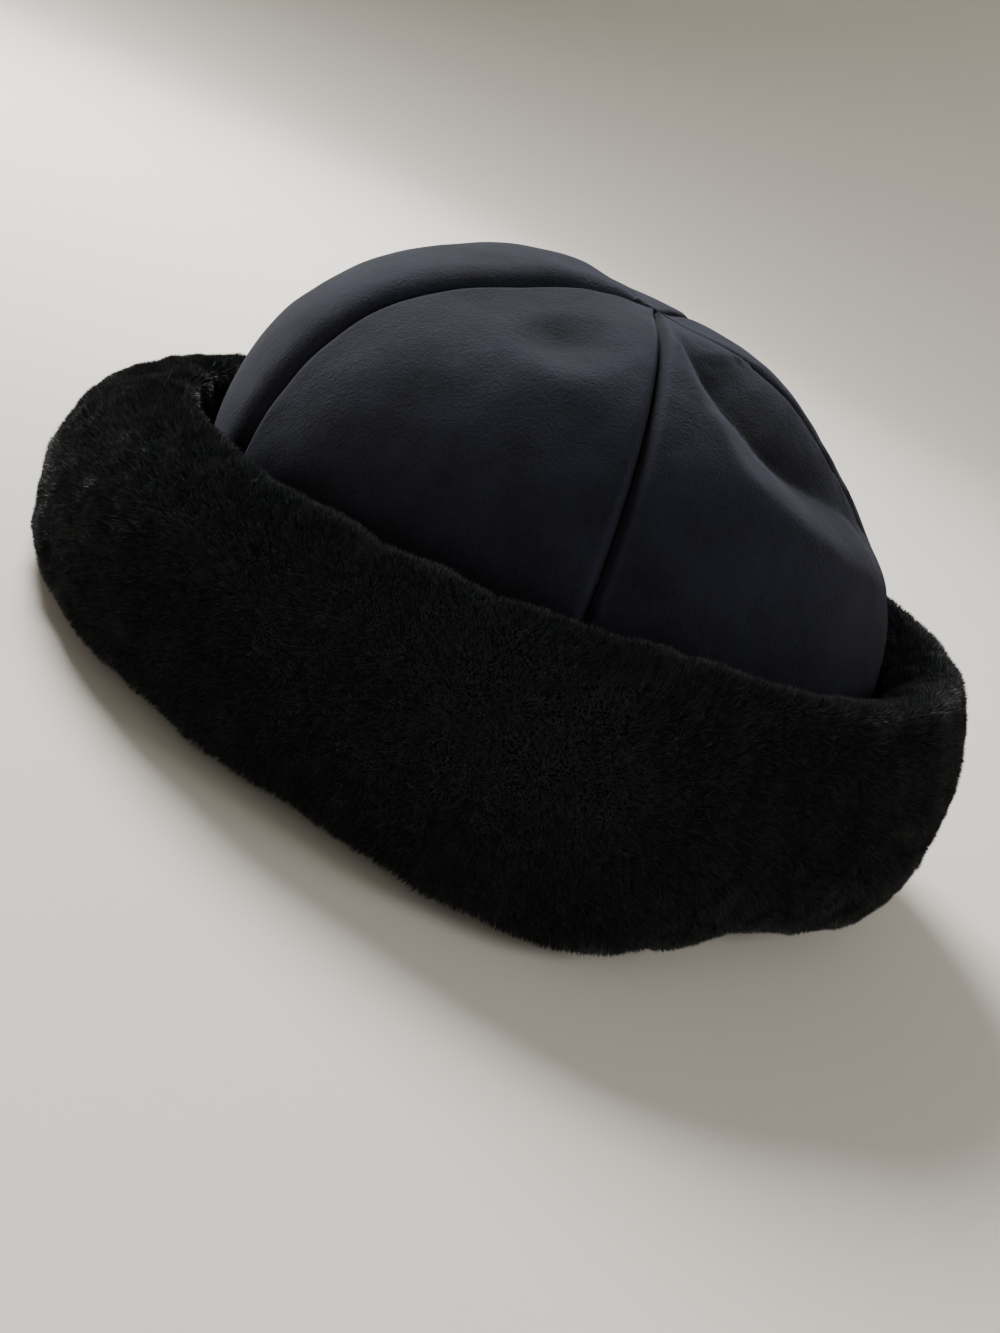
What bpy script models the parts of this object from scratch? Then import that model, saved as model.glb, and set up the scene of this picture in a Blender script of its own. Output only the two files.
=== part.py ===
"""Shearling hat: a crown of five padded suede gores in a deep cuff turned up with its fleece outside.

Metres, +Z up. The front faces -Y and the wearer's left is +X. The hat stands on the fold of its cuff at
z = 0, with the origin under the middle of its box. A turn is an angle around the hat in degrees, 0 at the
front and 90 at the wearer's left. A rise is an angle up the dome, 0 at its widest level and 90 at the top.
"""
import math

import bpy
import numpy as np
from mathutils import Matrix

MM = 0.001
COLLECTION = "shearling_hat"

# Head hollow, measured inside the pile
HEAD_HALF_WIDTH = 81 * MM
HEAD_HALF_LENGTH = 99 * MM
HOLLOW_HALF_WIDTH = 91 * MM
HOLLOW_HALF_LENGTH = 103 * MM
HOLLOW_WIDE_LEVEL = 54 * MM
HOLLOW_DOME_HEIGHT = 83 * MM
DOME_SHIFT = -3.6 * MM
DOME_ROUND = 2.25
DOME_RISE_ROUND = 2.04

# Crown wall
SEAM_WALL = 5 * MM
HEM_STAND = 7 * MM
SEAM_GAP = 0.3 * MM
TIP_RADIUS = 1.3 * MM
PUFF_SQUARENESS = 12
PUFF_FADE_RADIUS = 34 * MM
PUFF_FULL_LEVEL = 100 * MM

# Cuff
PILE = 12 * MM
SKIN = 2 * MM
PIECE_GAP = 0.3 * MM
FLEECE_GAP = 0.4 * MM
CUFF_HEIGHT = 72 * MM
CUFF_HEIGHT_TILT = 11.5 * MM
LIP_GAP_SIDE = 0.9 * MM
LIP_GAP_FRONT = 12 * MM
LIP_GAP_BACK = 14 * MM
BULGE_SIDE = 14 * MM
BULGE_FRONT = 20 * MM
BULGE_BACK = 13.5 * MM
BULGE_LEVEL = 30 * MM
HEEL_INSET_SIDE = 3 * MM
HEEL_INSET_FRONT = 2.5 * MM
HEEL_INSET_BACK = 7.5 * MM
SEAT_MARGIN = 3 * MM
CUFF_LEAN = 62
TUFT_HEIGHT = 1.0 * MM
EDGE_ROUND = 4 * MM

# The dent in the back left gore, whose last fifth at each seam is free of it, and the dome's soft hollows
DENT_DEPTH = 9 * MM
DENT_INNER_REACH = 40 * MM
DENT_OUTER_REACH = 15 * MM
DENT_SEAM_FADE = 0.2
SINK_DEPTH = 5 * MM
SINK_RADIUS = 44 * MM

# The most that the cuff's fold is lifted off the surface and tucked in
FOLD_LIFT = 9 * MM
FOLD_TUCK = 9 * MM

# Grid steps
GORE_COLUMNS = 12
DENTED_COLUMNS = 20
CUFF_TURNS = 80

# name, turns of its two seams, height of its padding above them, dented
GORES = (
    ("gore_front", -36, 36, 5.0 * MM, False),
    ("gore_side_left", 36, 104, 3.0 * MM, False),
    ("gore_back_left", 104, 180, 2.6 * MM, True),
    ("gore_back_right", 180, 256, 2.6 * MM, False),
    ("gore_side_right", 256, 324, 3.0 * MM, False),
)

# Waves of the cuff's fold behind the wearer's left: turn, spread, share of the lift, share of the tuck
FOLD_WAVES = (
    (110, 28, 0.0, -1.0),
    (145, 32, 0.70, 0.80),
    (182, 34, 0.45, 0.15),
)

# The dent's valley, from the top of the dome down and round to the back: turn, rise, share of the depth
DENT_VALLEY = (
    (121, 80, 0.25),
    (121, 71, 0.60),
    (123, 62, 0.85),
    (129, 56, 1.00),
    (136, 52, 1.00),
    (147, 49, 0.95),
    (159, 46, 0.75),
    (171, 43, 0.45),
)

# Soft hollows of the dome at the left seam of the front gore and in the left gore: turn, rise, share of the
# depth, share of the radius
SINKS = (
    (50, 66, 1.0, 1.0),
    (80, 58, 0.5, 0.45),
)

# Waves of the fleece's low tufts: waves around the hat, turn of the wave from row to row, start
TUFT_WAVES = (
    (17, 1.7, 0.0),
    (11, -2.3, 1.1),
    (23, 0.9, 2.4),
)

# Rises of a gore's rows above its widest level; the dented gore has the closer ones
DOME_ROW_ANGLES = (0, 13, 26, 38, 49, 59, 68, 76, 83, 87.5)
DENTED_ROW_ANGLES = (0, 11, 22, 31, 37, 42, 46, 50, 54, 59, 64, 69, 74, 79, 84, 87.5)
# Shares of the way from the hem's upright stand to the widest level
SIDE_SHARES = (0.0, 0.5)
# Shares of the heel's arc and of the wall's arc of the cuff
HEEL_SHARES = (0.0, 0.38, 0.7, 1.0)
WALL_SHARES = (0.35, 0.7, 1.0)
# Turns of the fleece's round top, from its outer side over to the suede
TOP_ANGLES = (36, 72, 108, 144)
# Number of the cuff's last level row, from which the heel rises
HEEL_ROW = 2

HEM_LEVEL = PILE + SKIN + PIECE_GAP
PUFF_MOST = max(row[3] for row in GORES)


def smooth(value):
    """Soft step from 0 to 1."""
    value = np.clip(value, 0.0, 1.0)
    return value * value * (3 - 2 * value)


def ellipse(turn, half_width, half_length, centre=0.0):
    """Plan position at a turn on an ellipse centred on the hat's middle line."""
    return np.stack([half_width * np.sin(turn), centre - half_length * np.cos(turn)], -1)


def hollow_point(turn, rise):
    """Point on the head hollow at a turn and a rise in radians, on the dome above the widest level."""
    out = np.clip(np.cos(rise), 0.0, 1.0) ** (2 / DOME_ROUND)
    up = np.clip(np.sin(rise), 0.0, 1.0) ** (2 / DOME_RISE_ROUND)
    plan = ellipse(turn, HOLLOW_HALF_WIDTH, HOLLOW_HALF_LENGTH) * out[..., None]
    plan[..., 1] += DOME_SHIFT * up
    level = HOLLOW_WIDE_LEVEL + HOLLOW_DOME_HEIGHT * up
    return np.concatenate([plan, level[..., None]], -1)


def side_point(turn, share):
    """Point on the hollow below its widest level; a share of 0 is the top of the hem's upright stand."""
    swell = math.sin(share * math.pi / 2)
    half_width = HEAD_HALF_WIDTH + (HOLLOW_HALF_WIDTH - HEAD_HALF_WIDTH) * swell
    half_length = HEAD_HALF_LENGTH + (HOLLOW_HALF_LENGTH - HEAD_HALF_LENGTH) * swell
    foot = HEM_LEVEL + HEM_STAND
    level = foot + (HOLLOW_WIDE_LEVEL - foot) * share
    plan = ellipse(turn, half_width, half_length)
    return np.concatenate([plan, np.full(turn.shape + (1,), level)], -1)


def dent_depth(turn, rise, points):
    """Depth of the back left dent: a slow fall from the back seam to the valley, a quick rise past it."""
    table = np.array(DENT_VALLEY, float)
    knots = np.radians(table[:, :2])
    route = hollow_point(knots[:, 0], knots[:, 1])
    depth = np.zeros(turn.shape)
    nearest = np.full(turn.shape, np.inf)
    for i in range(len(route) - 1):
        step = route[i + 1] - route[i]
        along = np.clip(((points - route[i]) @ step) / (step @ step), 0.0, 1.0)
        apart = np.linalg.norm(points - route[i] - along[..., None] * step, axis=-1)
        way = knots[i + 1] - knots[i]
        inside = way[0] * (rise - knots[i, 1]) - way[1] * (turn - knots[i, 0]) > 0
        reach = np.where(inside, DENT_INNER_REACH, DENT_OUTER_REACH)
        share = table[i, 2] + (table[i + 1, 2] - table[i, 2]) * along
        here = DENT_DEPTH * share * (1 - smooth(apart / reach))
        depth = np.where(apart < nearest, here, depth)
        nearest = np.minimum(nearest, apart)
    return depth


def sink_depth(points):
    """Depth of the dome's soft hollows, each of which fades to nothing at its radius."""
    depth = np.zeros(points.shape[:-1])
    for turn, rise, depth_share, radius_share in SINKS:
        centre = hollow_point(np.array(math.radians(turn)), np.array(math.radians(rise)))
        apart = np.linalg.norm(points - centre, axis=-1)
        depth += SINK_DEPTH * depth_share * (1 - smooth(apart / (SINK_RADIUS * radius_share)))
    return depth


def dome_normal(points):
    """Outward direction of the undented dome, the same for two gores where they meet."""
    middle = np.array([0.0, 0.0, HOLLOW_WIDE_LEVEL])
    size = np.array([HOLLOW_HALF_WIDTH, HOLLOW_HALF_LENGTH, HOLLOW_DOME_HEIGHT])
    normal = (points - middle) / size ** 2
    return normal / np.linalg.norm(normal, axis=-1, keepdims=True)


def grid_normals(points, closed):
    """Unit normals of a grid of points, rows first; closed joins its last column to its first."""
    if closed:
        wide = np.concatenate([points[:, -1:], points, points[:, :1]], 1)
        across = np.gradient(wide, axis=1)[:, 1:-1]
    else:
        across = np.gradient(points, axis=1)
    normal = np.cross(across, np.gradient(points, axis=0))
    return normal / np.linalg.norm(normal, axis=-1, keepdims=True)


def gore_grid(start, end, columns, rises):
    """Shares across a gore from -1 to 1, its turns, each row's rise and its inner points.

    Its sides lie half a seam gap inside its seams.
    """
    middle = math.radians((start + end) / 2)
    half = math.radians((end - start) / 2)
    rows = [HEM_LEVEL] + list(SIDE_SHARES)
    tip_rise = math.acos((TIP_RADIUS / HOLLOW_HALF_WIDTH) ** (DOME_ROUND / 2))
    across = np.sin(np.linspace(-math.pi / 2, math.pi / 2, columns + 1))
    grid, turns, row_rises = [], [], []
    for number in range(len(rows) + len(rises) + 1):
        if number < len(rows):
            rise, size = 0.0, 1.0
        else:
            above = list(np.radians(rises)) + [tip_rise]
            rise = above[number - len(rows)]
            size = math.cos(rise) ** (2 / DOME_ROUND)
        narrow = SEAM_GAP / 2 / (HEAD_HALF_WIDTH * size)
        turn = middle + across * (half - narrow)
        if number == 0:
            points = side_point(turn, 0.0)
            points[:, 2] = HEM_LEVEL
        elif number < len(rows):
            points = side_point(turn, rows[number])
        else:
            points = hollow_point(turn, np.full(turn.shape, rise))
        grid.append(points)
        turns.append(turn)
        row_rises.append(rise)
    return across, np.array(turns), np.array(row_rises), np.array(grid)


def new_object(name, points, faces, material, collection):
    """Mesh object with its own material, shaded smooth but for its sharp edges."""
    mesh = bpy.data.meshes.new(name)
    mesh.from_pydata([tuple(float(value) for value in point) for point in points], [], faces)
    mesh.materials.append(material)
    mesh.shade_smooth()
    mesh.set_sharp_from_angle(angle=math.radians(45))
    body = bpy.data.objects.new(name, mesh)
    collection.objects.link(body)
    return body


def grid_faces(rows, columns, close_rows, close_columns, falling=False):
    """Triangles of a grid numbered row by row; a closed way joins its last line to its first.

    Each quad is cut along its rising or its falling diagonal, so that two grids can lie face to face.
    """
    faces = []
    for row in range(rows if close_rows else rows - 1):
        above = (row + 1) % rows
        for column in range(columns if close_columns else columns - 1):
            beside = (column + 1) % columns
            a, b = row * columns + column, row * columns + beside
            c, d = above * columns + beside, above * columns + column
            faces += [(a, b, d), (b, c, d)] if falling else [(a, b, c), (a, c, d)]
    return faces


def add_wall(body, thickness, outward, group=""):
    """Solidify modifier that thickens an open surface along its normals."""
    wall = body.modifiers.new("wall", "SOLIDIFY")
    wall.thickness = thickness
    wall.offset = 1 if outward else -1
    wall.use_quality_normals = True
    if group:
        wall.vertex_group = group
        wall.thickness_vertex_group = 0.0


def padding_share(level):
    """Share of the full padding that a gore has at a level: none at the hem, all well above the cuff."""
    return smooth((level - HEM_LEVEL) / (PUFF_FULL_LEVEL - HEM_LEVEL))


def make_gore(name, seams, puff, dented, material, collection):
    """Padded gore: the hollow's face, thickened outwards from a thin seam to a full middle."""
    columns = DENTED_COLUMNS if dented else GORE_COLUMNS
    rises = DENTED_ROW_ANGLES if dented else DOME_ROW_ANGLES
    across, turns, row_rises, points = gore_grid(*seams, columns, rises)
    off_top = smooth(np.hypot(points[..., 0], points[..., 1]) / PUFF_FADE_RADIUS)
    depth = sink_depth(points)
    if dented:
        rise = np.broadcast_to(row_rises[:, None], turns.shape)
        hold = smooth((1 - np.abs(across)) / DENT_SEAM_FADE) * off_top
        depth = depth + dent_depth(turns, rise, points) * hold
    points = points - dome_normal(points) * depth[..., None]
    full = np.sqrt(np.clip(1 - np.abs(across) ** PUFF_SQUARENESS, 0, 1))
    thickness = SEAM_WALL + puff * full * off_top * padding_share(points[..., 2])
    rows = len(points)
    faces = grid_faces(rows, columns + 1, False, False, dented)
    body = new_object(name, points.reshape(-1, 3), faces, material, collection)
    group = body.vertex_groups.new(name="padding")
    most = SEAM_WALL + PUFF_MOST
    for index, value in enumerate((thickness / most).ravel()):
        group.add([index], float(value), "REPLACE")
    add_wall(body, most, True, "padding")
    return body


def lip_level(turn):
    """Level of the suede's upper edge, half the rolled edge's thickness under the cuff's top."""
    return CUFF_HEIGHT - CUFF_HEIGHT_TILT * np.cos(turn) - (PILE + SKIN) / 2


def crown_reach(half_size, gore, turn, shift=0.0):
    """Distance from the middle to the outside of a gore where the cuff's lip passes it."""
    level = float(lip_level(turn))
    up = max(level - HOLLOW_WIDE_LEVEL, 0.0) / HOLLOW_DOME_HEIGHT
    rise = math.asin(up ** (DOME_RISE_ROUND / 2))
    out = math.cos(rise) ** (2 / DOME_ROUND)
    return half_size * out + shift * up + SEAM_WALL + GORES[gore][3] * float(padding_share(level))


def cuff_rings():
    """Named plan ellipses of the cuff's suede line: half width, half length and centre of each."""
    lip_side = crown_reach(HOLLOW_HALF_WIDTH, 1, math.pi / 2) + LIP_GAP_SIDE + SKIN
    lip_front = crown_reach(HOLLOW_HALF_LENGTH, 0, 0.0, -DOME_SHIFT) + LIP_GAP_FRONT + SKIN
    lip_back = crown_reach(HOLLOW_HALF_LENGTH, 2, math.pi, DOME_SHIFT) + LIP_GAP_BACK + SKIN
    belly_side = lip_side + BULGE_SIDE
    belly_front = lip_front + BULGE_FRONT
    belly_back = lip_back + BULGE_BACK
    heel_side = belly_side - HEEL_INSET_SIDE
    heel_front = belly_front - HEEL_INSET_FRONT
    heel_back = belly_back - HEEL_INSET_BACK
    seat = SEAM_WALL + SEAT_MARGIN
    return {
        "hem": (HEAD_HALF_WIDTH, HEAD_HALF_LENGTH, 0.0),
        "seat": (HEAD_HALF_WIDTH + seat, HEAD_HALF_LENGTH + seat, 0.0),
        "heel": (heel_side, (heel_front + heel_back) / 2, (heel_back - heel_front) / 2),
        "belly": (belly_side, (belly_front + belly_back) / 2, (belly_back - belly_front) / 2),
        "lip": (lip_side, (lip_front + lip_back) / 2, (lip_back - lip_front) / 2),
    }


def cuff_grid():
    """Suede line of the cuff from the hem out, up its wall and in to the lip: rows of points by turn."""
    turn = np.arange(CUFF_TURNS) * 2 * math.pi / CUFF_TURNS
    ring = {name: ellipse(turn, *sizes) for name, sizes in cuff_rings().items()}
    lift, tuck = np.zeros(turn.shape), np.zeros(turn.shape)
    for middle, spread, lift_share, tuck_share in FOLD_WAVES:
        off = np.clip(np.abs(np.degrees(turn) - middle) / spread, 0, 1)
        wave = np.cos(off * math.pi / 2) ** 2
        lift += FOLD_LIFT * lift_share * wave
        tuck += FOLD_TUCK * tuck_share * wave
    inward = -ring["belly"] / np.linalg.norm(ring["belly"], axis=-1, keepdims=True)
    for name in ("heel", "belly"):
        ring[name] = ring[name] + inward * tuck[:, None]
    heel_level = PILE + lift
    belly_level = BULGE_LEVEL + lift
    rows = [(ring["hem"], np.full(turn.shape, PILE)), (ring["seat"], np.full(turn.shape, PILE))]
    for share in HEEL_SHARES:
        bend = share * math.pi / 2
        rows.append((ring["heel"] + (ring["belly"] - ring["heel"]) * math.sin(bend),
                     heel_level + (belly_level - heel_level) * (1 - math.cos(bend))))
    lean = math.radians(CUFF_LEAN)
    for share in WALL_SHARES:
        bend = share * lean
        leant = (1 - math.cos(bend)) / (1 - math.cos(lean))
        risen = math.sin(bend) / math.sin(lean)
        rows.append((ring["belly"] + (ring["lip"] - ring["belly"]) * leant,
                     belly_level + (lip_level(turn) - belly_level) * risen))
    return turn, np.array([np.concatenate([plan, level[:, None]], -1) for plan, level in rows])


def make_brim_skin(material, collection):
    """Suede backing of the cuff, on the side that faces the crown."""
    _, points = cuff_grid()
    rows = len(points)
    faces = grid_faces(rows, CUFF_TURNS, False, True)
    body = new_object("brim_skin", points.reshape(-1, 3), faces, material, collection)
    add_wall(body, SKIN, False)
    return body


def tufts(turn, row):
    """Low soft tufts of the fleece as a share of their height, in waves around and up the cuff."""
    waves = [np.sin(count * turn + twist * row + start) for count, twist, start in TUFT_WAVES]
    return sum(waves) / len(waves)


def make_brim_fleece(material, collection):
    """Fleece of the cuff: a closed section lofted round, flat where it rests and round over the lip."""
    turn, line = cuff_grid()
    normal = grid_normals(line, True)
    normal[:HEEL_ROW + 1] = (0, 0, -1)
    rows = len(line)
    loop = [line[i] + normal[i] * FLEECE_GAP for i in range(rows)]
    rise = line[-1] - line[-2]
    rise = rise / np.linalg.norm(rise, axis=-1, keepdims=True)
    out = normal[-1]
    up = rise - out * np.sum(rise * out, -1, keepdims=True)
    up = up / np.linalg.norm(up, axis=-1, keepdims=True)
    loop[-1] = line[-1] + (out + up) * FLEECE_GAP
    loop.append(line[-1] - out * SKIN + up * FLEECE_GAP)
    radius = (PILE + SKIN) / 2
    centre = line[-1] + out * (PILE - SKIN) / 2
    for angle in reversed(TOP_ANGLES):
        bend = math.radians(angle)
        loop.append(centre + out * (radius * math.cos(bend)) + up * (radius * math.sin(bend) + FLEECE_GAP))
    first_risen = HEEL_ROW + 1
    for i in reversed(range(1, rows)):
        height = PILE + (TUFT_HEIGHT * tufts(turn, i)[:, None] if i > first_risen else 0.0)
        loop.append(line[i] + normal[i] * height)
        if i == first_risen:
            corner = normal[HEEL_ROW] + normal[first_risen]
            corner = corner / np.linalg.norm(corner, axis=-1, keepdims=True)
            loop.append(line[HEEL_ROW] + corner * PILE)
    edge = ellipse(turn, HEAD_HALF_WIDTH + EDGE_ROUND, HEAD_HALF_LENGTH + EDGE_ROUND)
    loop.append(np.concatenate([edge, np.zeros((CUFF_TURNS, 1))], -1))
    side = ellipse(turn, HEAD_HALF_WIDTH, HEAD_HALF_LENGTH)
    loop.append(np.concatenate([side, np.full((CUFF_TURNS, 1), EDGE_ROUND)], -1))
    points = np.array(loop[::-1])
    faces = grid_faces(len(points), CUFF_TURNS, True, True, True)
    return new_object("brim_fleece", points.reshape(-1, 3), faces, material, collection)


def make_material(name, colour, roughness):
    """Principled material in a linear colour."""
    material = bpy.data.materials.new(name)
    material.use_nodes = True
    shader = material.node_tree.nodes["Principled BSDF"]
    shader.inputs["Base Color"].default_value = (*colour, 1.0)
    shader.inputs["Roughness"].default_value = roughness
    shader.inputs["Metallic"].default_value = 0.0
    return material


def centre_on_origin(bodies):
    """Slide the meshes so that the hat's box stands centred on the origin, with its base at z = 0."""
    bpy.context.view_layer.update()
    depsgraph = bpy.context.evaluated_depsgraph_get()
    corners = []
    for body in bodies:
        mesh = body.evaluated_get(depsgraph).to_mesh()
        corners += [vertex.co.copy() for vertex in mesh.vertices]
    lows = [min(corner[axis] for corner in corners) for axis in range(3)]
    highs = [max(corner[axis] for corner in corners) for axis in range(3)]
    shift = Matrix.Translation((-(lows[0] + highs[0]) / 2, -(lows[1] + highs[1]) / 2, -lows[2]))
    for body in bodies:
        body.data.transform(shift)


def main():
    for item in list(bpy.data.objects):
        bpy.data.objects.remove(item, do_unlink=True)
    collection = bpy.data.collections.new(COLLECTION)
    bpy.context.scene.collection.children.link(collection)
    for name, start, end, puff, dented in GORES:
        suede = make_material(name + "_suede", (0.020, 0.024, 0.042), 0.85)
        make_gore(name, (start, end), puff, dented, suede, collection)
    make_brim_skin(make_material("brim_suede", (0.012, 0.014, 0.022), 0.85), collection)
    make_brim_fleece(make_material("brim_fleece", (0.004, 0.005, 0.006), 0.95), collection)
    centre_on_origin(list(collection.objects))


main()
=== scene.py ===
"""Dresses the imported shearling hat: padded suede gores, a turned-up cuff and its sheared fleece.

Run as a script. Metres, +Z up, front -Y, wearer's left +X. A turn is an angle around the hat in degrees,
0 at the front and 90 at the wearer's left. A way runs up the crown: 0 at its hem, 1 at its widest level and
2 at its top.
"""
import math

import bpy
import numpy as np
from bpy.props import FloatProperty, FloatVectorProperty, IntProperty, PointerProperty
from mathutils import Matrix, Vector, noise


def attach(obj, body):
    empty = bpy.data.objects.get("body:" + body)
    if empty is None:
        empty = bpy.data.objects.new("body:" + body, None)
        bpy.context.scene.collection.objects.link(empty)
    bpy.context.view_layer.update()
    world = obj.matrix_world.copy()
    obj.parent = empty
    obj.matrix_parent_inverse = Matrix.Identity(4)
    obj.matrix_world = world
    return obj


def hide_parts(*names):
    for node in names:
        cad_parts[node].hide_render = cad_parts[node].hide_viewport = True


bl_info = {
    "name": "Shearling Hat",
    "version": (1, 0, 0),
    "blender": (4, 5, 0),
    "location": "3D View > Sidebar > Hat",
    "description": "Makes a suede and fleece hat around its packed solids",
    "category": "Object",
}

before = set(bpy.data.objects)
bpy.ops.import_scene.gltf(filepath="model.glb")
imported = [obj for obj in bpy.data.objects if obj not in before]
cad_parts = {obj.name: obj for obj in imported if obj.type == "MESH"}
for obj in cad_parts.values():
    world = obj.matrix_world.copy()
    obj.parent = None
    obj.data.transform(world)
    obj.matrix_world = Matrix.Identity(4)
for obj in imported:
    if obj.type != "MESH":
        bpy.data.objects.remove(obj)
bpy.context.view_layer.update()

MM = 0.001

# name, turns of its seams at the top, padding above them, reach of the roll into each of its seams
GORES = (
    ("gore_front", -36, 36, 5.0 * MM, 12.0 * MM, 12.0 * MM),
    ("gore_side_left", 36, 104, 3.0 * MM, 3.2 * MM, 4.6 * MM),
    ("gore_back_left", 104, 180, 2.6 * MM, 3.2 * MM, 4.0 * MM),
    ("gore_back_right", 180, 256, 2.6 * MM, 4.0 * MM, 3.4 * MM),
    ("gore_side_right", 256, 324, 3.0 * MM, 3.4 * MM, 3.2 * MM),
)
# Seam at which the dent starts
DENT_SEAM = 104

# Turns by which some seams swing aside on their way down to the hem, and the rise at which they start to
SEAM_SWING = {-36: (-4.0, 75), 36: (4.0, 75), 180: (12.0, 88), 324: (-4.0, 75)}

# Waves of the cuff's fold behind the wearer's left: turn, spread, share of the lift, share of the tuck
FOLD_WAVES = (
    (110, 28, 0.0, -1.0),
    (145, 32, 0.70, 0.80),
    (182, 34, 0.45, 0.15),
)

# The dent's valley, from the top of the dome down and round to the back: turn, rise, share of the depth,
# share of the outer reach
DENT_VALLEY = (
    (119.0, 82.0, 0.15, 0.20),
    (123.0, 76.0, 0.45, 0.30),
    (131.0, 71.0, 0.80, 0.60),
    (136.5, 66.0, 0.95, 0.80),
    (141.0, 62.5, 1.00, 0.95),
    (144.0, 59.0, 1.00, 1.00),
    (149.0, 56.5, 1.00, 1.00),
    (155.5, 54.0, 0.95, 1.00),
    (162.0, 51.5, 0.85, 1.00),
    (169.5, 48.5, 0.70, 1.00),
    (178.0, 44.0, 0.50, 0.90),
    (188.0, 40.0, 0.25, 0.80),
    (198.0, 37.0, 0.00, 0.60),
)

# Soft hollows of the dome: turn, rise, share of the depth, share of the radius
SINKS = (
    (50, 66, 1.0, 1.0),
    (77, 60, 0.7, 0.42),
    (196, 52, 0.40, 0.90),
)

# Turn past the dent's seam over which it grows to its full depth
DENT_FADE = math.radians(10)
# Share of the dent's scoop that is a soft step, power of the rest, and softness of the ledge's foot
SCOOP_SOFT, SCOOP_POWER, LEDGE_SOFT = 0.35, 1.8, 0.1

# Unevenness of the gores' hide, puckers where its edge is gathered into a seam, and unevenness of the pile's
# foot inside the crown: height, width of the bumps, seed
HIDE_RIPPLES = ((0.9 * MM, 26 * MM, 3.0), (0.25 * MM, 9 * MM, 6.0))
PUCKERS = (0.5 * MM, 7 * MM, 8.0)
LINING_RIPPLE = (0.3 * MM, 6 * MM, 5.0)
# Distance from a seam over which the puckers fade
PUCKER_REACH = 7 * MM

# Fullness of the rolls into the seams, and the most of half a gore that they take
ROLL_ROUND = 2.6
ROLL_LIMIT = 0.8

# Pale edge beside a seam, rubbed wear with a painted highlight on its roll: strength, distance from the seam
# and spread. Then the spread of the painted shade down in the seam
RUBBED_LIT_EDGE = (0.4, 1.9 * MM, 0.8 * MM)
SEAM_SHADE_SPREAD = 1.1 * MM
# How fast the painted light on the top grows with its height, and how much less of it a hollow gets, as
# painted shade
TOP_LIGHT_RISE, TOP_LIGHT_HOLLOW = 1.2, 0.7

# Steps up a seam, and the way at which its tape starts
SEAM_STEPS = 80
SEAM_START = 0.02
# Gap from the gores' suede to the tape, thickness of the tape, and lift of the stitches off the seam's floor
TAPE_GAP = 0.1 * MM
TAPE_WALL = 0.3 * MM
STITCH_LIFT = 0.05 * MM
STITCH_SLANT = math.radians(35)
STITCH_SEED = 5

# Knot: rings, steps around and way up, depth and turn of its lobes, and the bend left flat at its ends
KNOT_RINGS, KNOT_STEPS, KNOT_WAY = 14, 40, 1.97
KNOT_LOBE, KNOT_TURN, KNOT_END = 0.22, 0.6, 0.04

# Pile's foot inside the crown: its steps around, rows and last way, its gap to the gores and its thickness
LINING_STEPS, LINING_ROWS, LINING_TOP = 140, 48, 1.985
LINING_GAP, LINING_WALL = 0.4 * MM, 0.5 * MM

# Rows of the cuff's line across its seat, round its heel and up its wall, counting both ends
SEAT_ROWS, HEEL_ROWS, WALL_ROWS = 7, 11, 15
# Turns in degrees around the cuff's lip, from its inside over the top to its outside
LIP_BENDS = range(215, 0, -12)
# Rows of the fleece's rounded edge at the head opening
EDGE_ROWS = 4
# Shares of a strand's length by which its foot stays off the floor and the crown, and stands up at an edge
FOOT_CLEAR, FOOT_RISE = 0.8, 0.5

# Height over which the pile comes free of the floor, and its closeness and length where it is pressed there
FREE_HEIGHT = 6 * MM
PRESSED_CLOSENESS, PRESSED_LENGTH = 0.25, 0.8

# Quarters of the cuff, each with its own piece of strands, from the front round by the wearer's left
QUARTERS = ("front", "left", "back", "right")

# Stage floor: radii of its level rings, then radius of the bend into its wall, height of the wall, steps
FLOOR_RINGS = (0.02, 0.5, 1.3)
BEND_RADIUS = 1.2
WALL_HEIGHT = 3.4
FLOOR_STEPS, BEND_STEPS = 96, 24

# name, place, size and power of each soft light, then the point that they are aimed at and the sky
LIGHTS = (
    ("key", (-0.62, -0.80, 0.95), 0.6, 46.0),
    ("fill", (1.6, -0.5, 0.8), 1.4, 2.5),
    ("rim", (0.3, 1.6, 1.0), 0.9, 12.0),
)
LIGHT_AIM = (0, 0, 0.07)
SKY_COLOUR = (1.0, 0.98, 0.95, 1.0)
SKY_STRENGTH = 0.24

# The photograph's view of the hat, round a point on its axis, and where in the picture that point shows
VIEW_AZIMUTH = 95.4
VIEW_ELEVATION = 15.6
VIEW_ROLL = 26.2
VIEW_DISTANCE = 0.4694
VIEW_TARGET_LEVEL = 0.070
TARGET_PIXEL = (561.4, 528.3)
PICTURE_SIZE = (1000, 1333)
LENS = 40.5
SENSOR = 36.0


def size(name, description, millimetres):
    """Property for a length that is given in millimetres."""
    return FloatProperty(name=name, description=description, default=millimetres * MM, min=0.0,
                         precision=4, subtype="DISTANCE", unit="LENGTH")


def linear(code):
    """sRGB hex colour as linear RGB."""
    shares = [int(code[i:i + 2], 16) / 255 for i in (0, 2, 4)]
    return tuple(v / 12.92 if v <= 0.04045 else ((v + 0.055) / 1.055) ** 2.4 for v in shares)


def colour(name, description, code):
    """Property for a colour that is given as sRGB hex."""
    return FloatVectorProperty(name=name, description=description, default=linear(code), min=0.0, max=1.0,
                               subtype="COLOR", size=3)


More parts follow.
